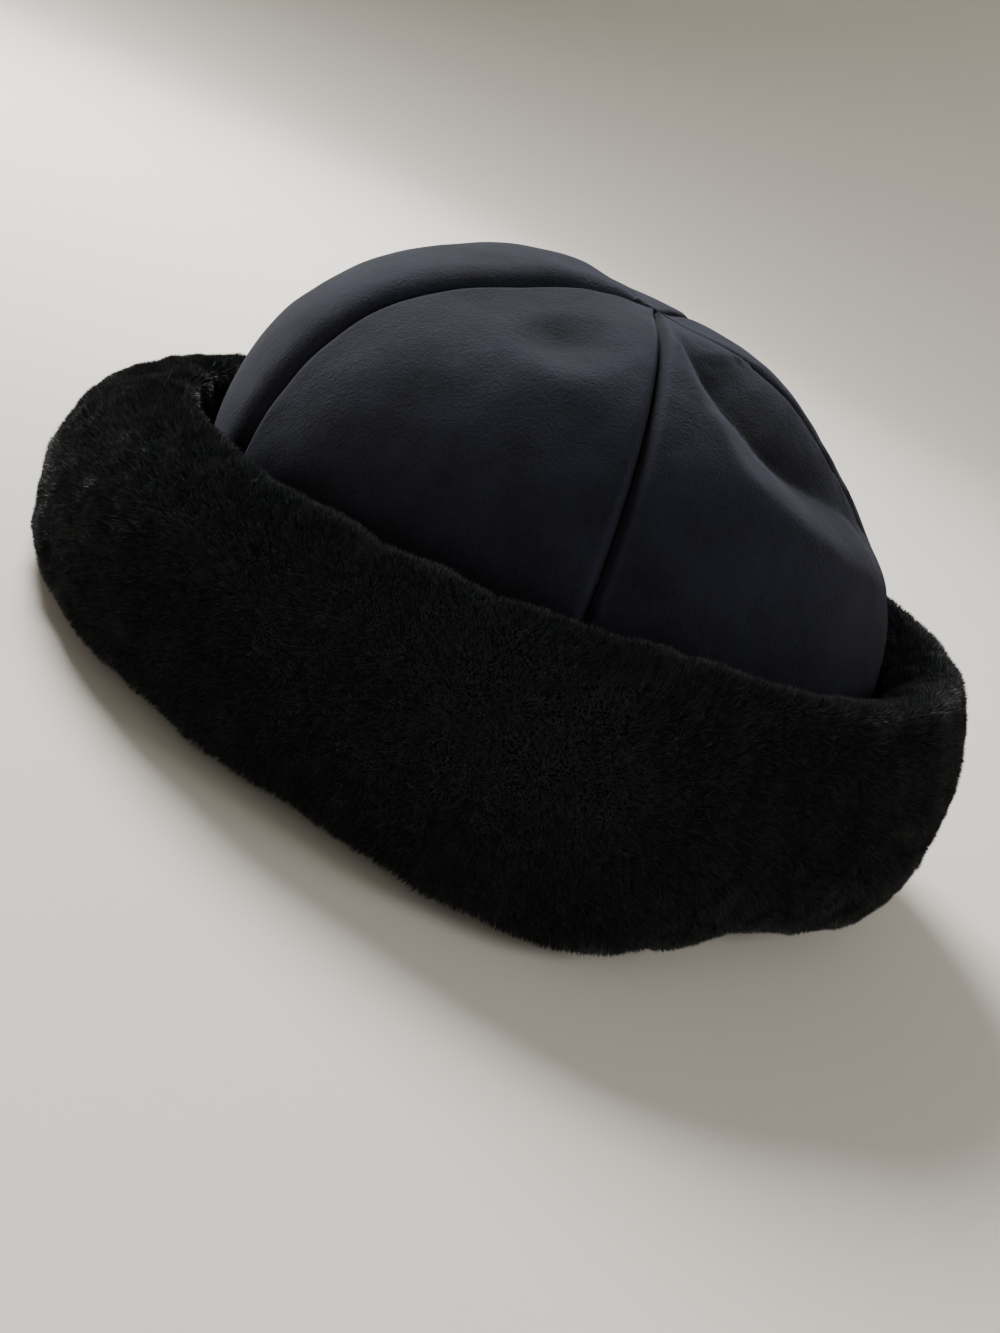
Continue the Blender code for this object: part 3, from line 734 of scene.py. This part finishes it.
def bake_nodes(body, tree, inputs):
    """Runs a geometry tree on a piece with the named inputs, and keeps its result as a plain mesh."""
    grower = body.modifiers.new("grow", "NODES")
    grower.node_group = tree
    for socket in tree.interface.items_tree:
        if socket.in_out == "INPUT" and socket.name in inputs:
            grower[socket.identifier] = inputs[socket.name]
    depsgraph = bpy.context.evaluated_depsgraph_get()
    mesh = bpy.data.meshes.new_from_object(body.evaluated_get(depsgraph), depsgraph=depsgraph)
    body.modifiers.remove(grower)
    old = body.data
    body.data = mesh
    bpy.data.meshes.remove(old)
    mesh.name = body.name
    if not mesh.polygons:
        raise RuntimeError(f"{body.name} came out empty")


def grow_strands(name, base, length, density, quarter, sizes):
    """Piece of strands grown on one quarter of a base surface."""
    tree = bpy.data.node_groups.get("sheared_fleece") or strand_tree()
    body = bpy.data.objects.new(name, base.data.copy())
    bpy.context.scene.collection.objects.link(body)
    bake_nodes(body, tree, {
        "Density": density, "Length": length, "Width": sizes.width, "Lean": sizes.lean, "Tuft": sizes.tuft,
        "Patch": sizes.patch, "Wave": sizes.wave, "Quarter": quarter, "Seed": sizes.seed + quarter,
        "Finish": finish("fleece_sheared_black"),
    })
    return body


def seam_turn(seam, way):
    """Turn in radians of a seam at each way up the crown."""
    swing, start = SEAM_SWING.get(seam, (0.0, 90))
    return np.radians(seam + swing * (1 - np.clip((way - 1) * 90 / start, 0, 1) ** 2))


def crown_sag(crown, turn, way, points):
    """How far the crown is pressed in at each point, and where the dent's face lies, from 0 to 1."""
    off_seam = smooth((turn - seam_turn(DENT_SEAM, way)) / DENT_FADE)
    depth, face = dent_depth(crown, turn, way, points)
    return sink_depth(crown, points) + depth * off_seam * clear_of_top(crown, points), face * off_seam


def gore_points(crown, seams, puff, rolls):
    """Outer points of a gore from its hem up to its tip, and the marks for its finish: rubbed wear with a
    painted highlight and painted shade at its seams, and painted light on its top.
    """
    across = np.sin(np.linspace(-math.pi / 2, math.pi / 2, crown.columns + 1))
    side = np.linspace(0, 1, crown.rows // 5, endpoint=False)
    dome = 1 + np.linspace(0, dome_rise(crown, crown.tip_radius), crown.rows)
    way = np.concatenate([side, dome])[:, None]
    start, end = seam_turn(seams[0], way), seam_turn(seams[1], way)
    middle, half = (start + end) / 2, (end - start) / 2
    radius = np.linalg.norm(crown_point(crown, middle, way)[..., :2], axis=-1)
    turn = middle + across * (half - crown.seam_gap / 2 / radius)
    way = np.broadcast_to(way, turn.shape)
    points = crown_point(crown, turn, way)
    normal = crown_normal(crown, turn, way)
    padded = padding_share(crown, points[..., 2])
    full = crown.seam_wall + puff * clear_of_top(crown, points) * padded
    floor = crown.seam_wall - crown.groove
    # Roll into the seams
    off_seam = (1 - np.abs(across)) * half * radius
    reach = np.minimum(np.where(across < 0, *rolls), ROLL_LIMIT * half * radius)
    near = np.clip(off_seam / reach, 0, 1)
    thickness = floor + (full - floor) * np.sqrt(1 - (1 - near) ** ROLL_ROUND)
    # Soft unevenness of the hide, and puckers where its edge is gathered into the seam
    thickness += sum(ripple(points, *waves) for waves in HIDE_RIPPLES) * near
    thickness += ripple(points, *PUCKERS) * near * np.exp(-off_seam / PUCKER_REACH)
    # Pale edge beside the seam, rubbed wear with a painted highlight on its roll, and painted shade down in
    # the seam
    strength, distance, spread = RUBBED_LIT_EDGE
    rubbed_and_lit = strength * np.exp(-((off_seam - distance) / spread) ** 2) * np.clip(padded * 2, 0, 1)
    painted_seam_shade = np.exp(-(off_seam / SEAM_SHADE_SPREAD) ** 2)
    sag, face = crown_sag(crown, turn, way, points)
    # Painted light on the top, growing with height and taken off the dent's scoop and the hollows, which it
    # leaves in painted shade
    level = (points[..., 2] - crown.wide_level) / crown.dome_height
    hollow = np.clip(sag / crown.sink_depth, 0, 1)
    painted_top_light = smooth(level * TOP_LIGHT_RISE) * (1 - face) * (1 - TOP_LIGHT_HOLLOW * hollow)
    marks = {"rubbed_and_lit": rubbed_and_lit, "painted_seam_shade": painted_seam_shade, "painted_top_light": painted_top_light}
    return points + normal * (thickness - sag)[..., None], marks


def seam_path(crown, turn, ways, above):
    """Points along a seam at the given ways, that far above the hollow, and the crown's direction there."""
    turns = seam_turn(turn, ways)
    points = crown_point(crown, turns, ways)
    normal = crown_normal(crown, turns, ways)
    return points + normal * (above - crown_sag(crown, turns, ways, points)[0])[:, None], normal


def cuff_rings(crown, cuff):
    """Named plan ellipses of the cuff's suede line: half width, half length and centre of each."""
    def reach(half_size, puff, turn, shift=0.0):
        level = float(lip_level(cuff, turn))
        up = max(level - crown.wide_level, 0.0) / crown.dome_height
        rise = math.asin(up ** (crown.rise_round / 2))
        out = math.cos(rise) ** (2 / crown.dome_round)
        padded = float(padding_share(crown, level))
        return half_size * out + shift * up + crown.seam_wall + puff * padded

    width, length, lean = crown.hollow_half_width, crown.hollow_half_length, crown.dome_lean
    front_puff, side_puff, back_puff = (gore[3] for gore in GORES[:3])
    lip = np.array([
        reach(width, side_puff, math.pi / 2) + cuff.lip_side + cuff.skin,
        reach(length, front_puff, 0.0, lean) + cuff.lip_front + cuff.skin,
        reach(length, back_puff, math.pi, -lean) + cuff.lip_back + cuff.skin,
    ])
    belly = lip + (cuff.bulge_side, cuff.bulge_front, cuff.bulge_back)
    heel = belly - (cuff.heel_side, cuff.heel_front, cuff.heel_back)
    hem = np.array([crown.head_half_width, crown.head_half_length, crown.head_half_length])
    seat = hem + (crown.seam_wall + cuff.seat_margin)
    rings = {"hem": hem, "seat": seat, "heel": heel, "belly": belly, "lip": lip}
    return {name: (side, (front + back) / 2, (back - front) / 2)
            for name, (side, front, back) in rings.items()}


def lip_level(cuff, turn):
    """Level of the suede's upper edge, half the rolled edge's thickness under the cuff's top."""
    return cuff.height - cuff.tilt * np.cos(turn) - (cuff.pile + cuff.skin) / 2


def cuff_grid(crown, cuff):
    """Suede line of the cuff from the hem out, up its wall and in to the lip, and how many rows are level."""
    turn = even_turns(cuff.turns)
    ring = {name: ellipse(turn, *sizes) for name, sizes in cuff_rings(crown, cuff).items()}
    lift, tuck = np.zeros(turn.shape), np.zeros(turn.shape)
    for middle, spread, lift_share, tuck_share in FOLD_WAVES:
        wave = np.cos(np.clip(np.abs(np.degrees(turn) - middle) / spread, 0, 1) * math.pi / 2) ** 2
        lift += cuff.fold_lift * lift_share * wave
        tuck += cuff.fold_tuck * tuck_share * wave
    inward = -unit(ring["belly"])
    for name in ("heel", "belly"):
        ring[name] = ring[name] + inward * tuck[:, None]
    heel_level, belly_level = cuff.pile + lift, cuff.bulge_level + lift
    flat = np.full(turn.shape, cuff.pile)
    rows = [(ring["hem"], flat)]
    for share in np.linspace(0, 1, SEAT_ROWS):
        rows.append((ring["seat"] + (ring["heel"] - ring["seat"]) * share, flat + lift * share))
    level_rows = len(rows)
    for bend in np.linspace(0, math.pi / 2, HEEL_ROWS)[1:]:
        rows.append((ring["heel"] + (ring["belly"] - ring["heel"]) * math.sin(bend),
                     heel_level + (belly_level - heel_level) * (1 - math.cos(bend))))
    for bend in np.linspace(0, cuff.lean, WALL_ROWS)[1:]:
        leant = (1 - math.cos(bend)) / (1 - math.cos(cuff.lean))
        risen = math.sin(bend) / math.sin(cuff.lean)
        rows.append((ring["belly"] + (ring["lip"] - ring["belly"]) * leant,
                     belly_level + (lip_level(cuff, turn) - belly_level) * risen))
    line = np.array([np.concatenate([plan, level[:, None]], -1) for plan, level in rows])
    return line, level_rows


def cuff_normals(line, level_rows):
    """Outward directions of the cuff's line, straight down on its level rows."""
    wide = np.concatenate([line[:, -1:], line, line[:, :1]], 1)
    normal = unit(np.cross(np.gradient(wide, axis=1)[:, 1:-1], np.gradient(line, axis=0)))
    normal[:level_rows] = (0, 0, -1)
    return normal


def lip_gap(cuff, turn):
    """Gap between the cuff's lip and the crown at a turn in radians, in plan."""
    end = np.where(np.cos(turn) > 0, cuff.lip_front, cuff.lip_back)
    return cuff.lip_side + (end - cuff.lip_side) * np.cos(turn) ** 2


def fleece_loop(crown, cuff, inset, overhang):
    """Closed section of the fleece at every turn, inset from its outer face, and the rows that bear pile."""
    line, level_rows = cuff_grid(crown, cuff)
    turn = even_turns(cuff.turns)
    normal = cuff_normals(line, level_rows)
    loop = [line[i] + normal[i] * cuff.gap for i in range(len(line))]
    out = normal[-1]
    rise = unit(line[-1] - line[-2])
    up = unit(rise - out * np.sum(rise * out, -1, keepdims=True))
    # The pile falls in over the lip as far as the crown leaves it room
    room = np.clip(lip_gap(cuff, turn) - inset * FOOT_CLEAR, 0, overhang)[:, None]
    loop.append(line[-1] + up * cuff.gap)
    loop.append(line[-1] - out * (cuff.skin + cuff.gap) + up * cuff.gap)
    foot_rows = len(loop)
    radius = (cuff.pile + cuff.skin) / 2 - inset
    centre = line[-1] + out * (cuff.pile - cuff.skin) / 2
    for bend in np.radians(LIP_BENDS):
        reach = radius + (room if math.cos(bend) < 0 else 0.0)
        risen = math.sin(bend) * radius + FOOT_RISE * inset
        loop.append(centre + out * (math.cos(bend) * reach) + up * risen)
    for i in reversed(range(1, len(line))):
        loop.append(line[i] + normal[i] * (cuff.pile - inset))
    round_by = cuff.edge_round
    for bend in np.linspace(0, math.pi / 2, EDGE_ROWS):
        grown = round_by - (round_by - inset * FOOT_RISE) * math.sin(bend)
        plan = ellipse(turn, crown.head_half_width + grown, crown.head_half_length + grown)
        level = inset * FOOT_CLEAR + round_by * (1 - math.cos(bend))
        loop.append(np.concatenate([plan, np.full((cuff.turns, 1), level)], -1))
    return np.array(loop[::-1]), len(loop) - foot_rows


class HAT_OT_gores(bpy.types.Operator):
    """Makes the five padded suede gores of the crown"""
    bl_idname = "hat.make_gores"
    bl_label = "Gores"

    def execute(self, context):
        crown = context.scene.hat_crown
        middle = hat_middle(crown, context.scene.hat_cuff)
        for name, start, end, puff, first_roll, last_roll in GORES:
            points, marks = gore_points(crown, (start, end), puff, (first_roll, last_roll))
            body = new_object("suede_" + name, points + middle, grid_faces(*points.shape[:2]),
                              "suede_brushed_navy")
            mark_wear_and_light(body, **marks)
            add_wall(body, crown.suede)
            place(body, "suede", name)
        return {"FINISHED"}


def stitch_tree():
    """Geometry tree that lays one twisted stitch on every point of a mesh, along and facing as it says."""
    tree, given = new_tree("seam_stitches", {"Float": ("Length", "Thickness", "Slant"), "Int": ("Seed",),
                                             "Material": ("Finish",)})
    facing, course = (add_node(tree, "GeometryNodeInputNamedAttribute", {"Name": name},
                               data_type="FLOAT_VECTOR") for name in ("facing", "course"))
    turned = add_node(tree, "FunctionNodeAlignRotationToVector", {"Vector": facing}, axis="Z")
    turned = add_node(tree, "FunctionNodeAlignRotationToVector", {"Rotation": turned, "Vector": course},
                      axis="X", pivot_axis="Z")
    loose = add_node(tree, "FunctionNodeRandomValue", {2: -0.12, 3: 0.12, "Seed": given["Seed"]},
                     data_type="FLOAT")
    slant = add_node(tree, "ShaderNodeMath", {0: loose.outputs[1], 1: given["Slant"]}, operation="ADD")
    slant = add_node(tree, "FunctionNodeAxisAngleToRotation", {"Axis": (0, 0, 1), "Angle": slant})
    turned = add_node(tree, "FunctionNodeRotateRotation", {"Rotation": turned, "Rotate By": slant},
                      rotation_space="LOCAL")
    stitch = add_node(tree, "GeometryNodeMeshUVSphere", {"Segments": 6, "Rings": 4, "Radius": 0.5})
    measure = add_node(tree, "ShaderNodeCombineXYZ", {"X": given["Length"], "Y": given["Thickness"],
                                                      "Z": given["Thickness"]})
    laid = add_node(tree, "GeometryNodeInstanceOnPoints",
                    {"Points": given["Geometry"], "Instance": stitch, "Rotation": turned, "Scale": measure})
    real = add_node(tree, "GeometryNodeRealizeInstances", {"Geometry": laid})
    dyed = add_node(tree, "GeometryNodeSetMaterial", {"Geometry": real, "Material": given["Finish"]})
    add_node(tree, "NodeGroupOutput", {0: dyed})
    return tree


def tape_line(crown, seam, turn):
    """Ways up a seam to the knot, the line of its tape at them and the crown's direction there."""
    ways = np.linspace(SEAM_START, 1 + dome_rise(crown, seam.knot), SEAM_STEPS)
    line, normal = seam_path(crown, turn, ways, crown.seam_wall - crown.groove - crown.suede - TAPE_GAP)
    return ways, line, normal


def make_tape(crown, seam, middle):
    """Tape behind every seam, which closes the gap between its gores."""
    strips, faces = [], []
    for number, (_, turn, *_) in enumerate(GORES):
        _, line, normal = tape_line(crown, seam, turn)
        aside = unit(np.cross(normal, unit(np.gradient(line, axis=0)))) * seam.tape / 2
        strips.append(np.stack([line - aside, line, line + aside], 1))
        first = number * SEAM_STEPS * 3
        faces += [tuple(first + index for index in face) for face in grid_faces(SEAM_STEPS, 3)]
    body = new_object("seam_tape", np.concatenate(strips) + middle, faces, "suede_brushed_navy")
    # Painted shade over the whole tape, down in the seams
    mark_wear_and_light(body, painted_seam_shade=1.0)
    add_wall(body, TAPE_WALL)
    place(body, "suede")


def make_stitches(crown, seam, middle):
    """Slanted stitches along every seam, one pitch apart."""
    spots, facing, course = [], [], []
    for _, turn, *_ in GORES:
        fine, line, _ = tape_line(crown, seam, turn)
        length = np.append(0, np.cumsum(np.linalg.norm(np.diff(line, axis=0), axis=-1)))
        ways = np.interp(np.arange(seam.pitch, length[-1], seam.pitch), length, fine)
        spot, out = seam_path(crown, turn, ways, crown.seam_wall - crown.groove + STITCH_LIFT)
        spots.append(spot)
        facing.append(out)
        course.append(unit(np.gradient(spot, axis=0)))
    body = new_object("seam_stitches", np.concatenate(spots) + middle, [])
    store(body, "facing", np.concatenate(facing), "FLOAT_VECTOR")
    store(body, "course", np.concatenate(course), "FLOAT_VECTOR")
    bake_nodes(body, stitch_tree(), {"Length": seam.stitch, "Thickness": seam.thread, "Slant": STITCH_SLANT,
                                     "Seed": STITCH_SEED, "Finish": finish("thread_polyester_navy")})
    place(body, "suede")


def make_knot(crown, seam, middle):
    """Small gathered knot at the top, a lens with a lobe at each seam, its rings from below upwards."""
    turn = even_turns(KNOT_STEPS)
    rings = []
    for bend in np.linspace(math.pi - KNOT_END, KNOT_END, KNOT_RINGS):
        lobes = 1 + KNOT_LOBE * np.cos(len(GORES) * turn + KNOT_TURN) * math.sin(bend)
        rings.append(np.stack([np.sin(turn) * lobes * math.sin(bend), -np.cos(turn) * lobes * math.sin(bend),
                               np.full(turn.shape, math.cos(bend))], -1))
    shape = np.array(rings) * (seam.knot, seam.knot, seam.knot_height)
    peak, _ = seam_path(crown, GORES[1][1], np.array([KNOT_WAY]), crown.seam_wall)
    peak[0, 0] = 0.0
    last = (KNOT_RINGS - 1) * KNOT_STEPS
    faces = grid_faces(KNOT_RINGS, KNOT_STEPS, close_columns=True)
    faces += [tuple(range(KNOT_STEPS))[::-1], tuple(range(last, last + KNOT_STEPS))]
    body = new_object("apex_knot", shape + peak[0] + middle, faces, "suede_brushed_navy")
    # Painted light over the knot on the top, and a little of the rubbed edge's painted highlight
    mark_wear_and_light(body, rubbed_and_lit=0.3, painted_top_light=1.0)
    place(body, "suede")


class HAT_OT_seams(bpy.types.Operator):
    """Makes the tape and the stitches down in the seams, and the knot where the seams meet"""
    bl_idname = "hat.make_seams"
    bl_label = "Seams and Knot"

    def execute(self, context):
        crown, seam = context.scene.hat_crown, context.scene.hat_seams
        middle = hat_middle(crown, context.scene.hat_cuff)
        make_tape(crown, seam, middle)
        make_stitches(crown, seam, middle)
        make_knot(crown, seam, middle)
        return {"FINISHED"}


class HAT_OT_lining(bpy.types.Operator):
    """Makes the pile inside the crown"""
    bl_idname = "hat.make_lining"
    bl_label = "Crown Pile"

    def execute(self, context):
        crown, pile = context.scene.hat_crown, context.scene.hat_pile
        way = np.linspace(0, LINING_TOP, LINING_ROWS)[:, None]
        turn, way = np.broadcast_arrays(even_turns(LINING_STEPS), way)
        points = crown_point(crown, turn, way)
        foot = ripple(points, *LINING_RIPPLE) - LINING_GAP - crown_sag(crown, turn, way, points)[0]
        points = points + crown_normal(crown, turn, way) * foot[..., None]
        faces = [face[::-1] for face in grid_faces(LINING_ROWS, LINING_STEPS, close_columns=True)]
        base = new_object("crown_pile_foot", points + hat_middle(crown, context.scene.hat_cuff), faces,
                          "fleece_foot")
        store(base, "quarter", np.zeros(len(faces), np.int32), "INT", "FACE")
        store(base, "closeness", np.ones(len(faces)), "FLOAT", "FACE")
        store(base, "reach", np.ones(turn.size))
        strands = grow_strands("crown_pile_strands", base, pile.lining, pile.lining_density, 0, pile)
        add_wall(base, LINING_WALL)
        for body in (base, strands):
            place(body, "fleece", *[row[0] for row in GORES])
        return {"FINISHED"}


class HAT_OT_cuff_suede(bpy.types.Operator):
    """Makes the suede of the cuff, which faces the crown"""
    bl_idname = "hat.make_cuff_suede"
    bl_label = "Cuff Suede"

    def execute(self, context):
        crown, cuff = context.scene.hat_crown, context.scene.hat_cuff
        line, _ = cuff_grid(crown, cuff)
        body = new_object("suede_brim_skin", line + hat_middle(crown, cuff),
                          grid_faces(*line.shape[:2], close_columns=True), "suede_brushed_navy")
        mark_wear_and_light(body)
        add_wall(body, cuff.skin)
        place(body, "suede", "brim_skin")
        return {"FINISHED"}


class HAT_OT_cuff_fleece(bpy.types.Operator):
    """Makes the cuff's fleece: its foot and four quarters of strands"""
    bl_idname = "hat.make_cuff_fleece"
    bl_label = "Cuff Fleece"

    def execute(self, context):
        crown, cuff, pile = context.scene.hat_crown, context.scene.hat_cuff, context.scene.hat_pile
        loop, pile_rows = fleece_loop(crown, cuff, pile.length, pile.overhang)
        rows, columns = loop.shape[:2]
        base = new_object("cuff_fleece_foot", loop + hat_middle(crown, cuff),
                          grid_faces(rows, columns, True, True), "fleece_foot")
        turn = (np.arange(columns) + 0.5) * 360 / columns
        quarter = np.tile(((turn + 45) % 360 // 90).astype(np.int32), (rows, 1))
        quarter[pile_rows:] = -1
        store(base, "quarter", quarter, "INT", "FACE")
        free = smooth((loop[..., 2] - pile.length) / FREE_HEIGHT)
        store(base, "closeness", PRESSED_CLOSENESS + (1 - PRESSED_CLOSENESS) * free, "FLOAT", "FACE")
        store(base, "reach", PRESSED_LENGTH + (1 - PRESSED_LENGTH) * free)
        for number, name in enumerate(QUARTERS):
            strands = grow_strands("cuff_fleece_" + name, base, pile.length, pile.density, number, pile)
            place(strands, "fleece", "brim_fleece")
        place(base, "fleece", "brim_fleece")
        return {"FINISHED"}


def make_floor():
    """Round floor that rises into a wall without an edge, so that no horizon shows."""
    foot = FLOOR_RINGS[-1]
    profile = [(radius, 0.0) for radius in FLOOR_RINGS]
    profile += [(foot + BEND_RADIUS * math.sin(bend), BEND_RADIUS * (1 - math.cos(bend)))
                for bend in np.linspace(0, math.pi / 2, BEND_STEPS + 1)[1:]]
    profile.append((foot + BEND_RADIUS, WALL_HEIGHT))
    turn = even_turns(FLOOR_STEPS)
    rows = [np.stack([radius * np.cos(turn), radius * np.sin(turn), np.full(turn.shape, level)], -1)
            for radius, level in profile]
    faces = [face[::-1] for face in grid_faces(len(rows), FLOOR_STEPS, close_columns=True)]
    faces.append(tuple(range(FLOOR_STEPS)))
    new_object("stage_floor", np.array(rows), faces, "floor_matt_paint")


def make_lights(scene):
    """Three soft lights and a pale sky."""
    for name, at, across, power in LIGHTS:
        data = bpy.data.lights.new(name, "AREA")
        data.shape, data.size, data.energy = "DISK", across, power
        lamp = bpy.data.objects.new(name, data)
        lamp.location = at
        lamp.rotation_euler = (Vector(LIGHT_AIM) - Vector(at)).to_track_quat("-Z", "Y").to_euler()
        scene.collection.objects.link(lamp)
    world = bpy.data.worlds.new("studio")
    world.use_nodes = True
    set_inputs(world.node_tree.nodes["Background"], {"Color": SKY_COLOUR, "Strength": SKY_STRENGTH})
    scene.world = world


def make_camera(scene):
    """Camera at the photograph's angle to the hat."""
    azimuth, elevation, roll = (math.radians(v) for v in (VIEW_AZIMUTH, VIEW_ELEVATION, VIEW_ROLL))
    back = Vector((math.sin(azimuth) * math.cos(elevation), -math.cos(azimuth) * math.cos(elevation),
                   math.sin(elevation)))
    right = (-back).cross(Vector((0, 0, 1))).normalized()
    up = right.cross(-back)
    rolled_right = math.cos(roll) * right + math.sin(roll) * up
    rolled_up = math.cos(roll) * up - math.sin(roll) * right
    focal = LENS / SENSOR * max(PICTURE_SIZE)
    aside = (TARGET_PIXEL[0] - PICTURE_SIZE[0] / 2) / focal
    above = -(TARGET_PIXEL[1] - PICTURE_SIZE[1] / 2) / focal
    aim = Vector((0, 0, 1)).rotation_difference(Vector((aside, above, 1))).to_matrix()
    axes = aim @ Matrix((rolled_right, rolled_up, -back))
    turned = Matrix((axes[0], axes[1], -axes[2])).transposed()
    data = bpy.data.cameras.new("camera")
    data.lens, data.sensor_width, data.clip_start = LENS, SENSOR, 0.01
    camera = bpy.data.objects.new("camera", data)
    target = Vector(hat_middle(scene.hat_crown, scene.hat_cuff)) + Vector((0, 0, VIEW_TARGET_LEVEL))
    camera.matrix_world = Matrix.Translation(target + back * VIEW_DISTANCE) @ turned.to_4x4()
    scene.collection.objects.link(camera)
    scene.camera = camera


class HAT_OT_stage(bpy.types.Operator):
    """Makes the floor, the lights and the camera"""
    bl_idname = "hat.make_stage"
    bl_label = "Stage"

    def execute(self, context):
        make_floor()
        make_lights(context.scene)
        make_camera(context.scene)
        return {"FINISHED"}


class HAT_PT_panel(bpy.types.Panel):
    """Lists the hat's pieces in the order in which they are made"""
    bl_idname = "HAT_PT_panel"
    bl_label = "Shearling Hat"
    bl_space_type = "VIEW_3D"
    bl_region_type = "UI"
    bl_category = "Hat"

    def draw(self, context):
        for maker in MAKERS:
            self.layout.operator(maker.bl_idname)
        for name, group in SETTINGS:
            for setting in group.__annotations__:
                self.layout.prop(getattr(context.scene, name), setting)


MAKERS = (HAT_OT_gores, HAT_OT_seams, HAT_OT_lining, HAT_OT_cuff_suede, HAT_OT_cuff_fleece, HAT_OT_stage)
SETTINGS = (
    ("hat_crown", HatCrownSizes),
    ("hat_seams", HatSeamSizes),
    ("hat_cuff", HatCuffSizes),
    ("hat_pile", HatPileSizes),
    ("hat_colours", HatColours),
)


def register():
    for name, group in SETTINGS:
        bpy.utils.register_class(group)
        setattr(bpy.types.Scene, name, PointerProperty(type=group))
    for item in MAKERS + (HAT_PT_panel,):
        bpy.utils.register_class(item)


def unregister():
    for item in reversed(MAKERS + (HAT_PT_panel,)):
        bpy.utils.unregister_class(item)
    for name, group in reversed(SETTINGS):
        delattr(bpy.types.Scene, name)
        bpy.utils.unregister_class(group)


def main():
    register()
    bpy.ops.hat.make_gores()
    bpy.ops.hat.make_seams()
    bpy.ops.hat.make_lining()
    bpy.ops.hat.make_cuff_suede()
    bpy.ops.hat.make_cuff_fleece()
    bpy.ops.hat.make_stage()


if __name__ == "__main__":
    main()
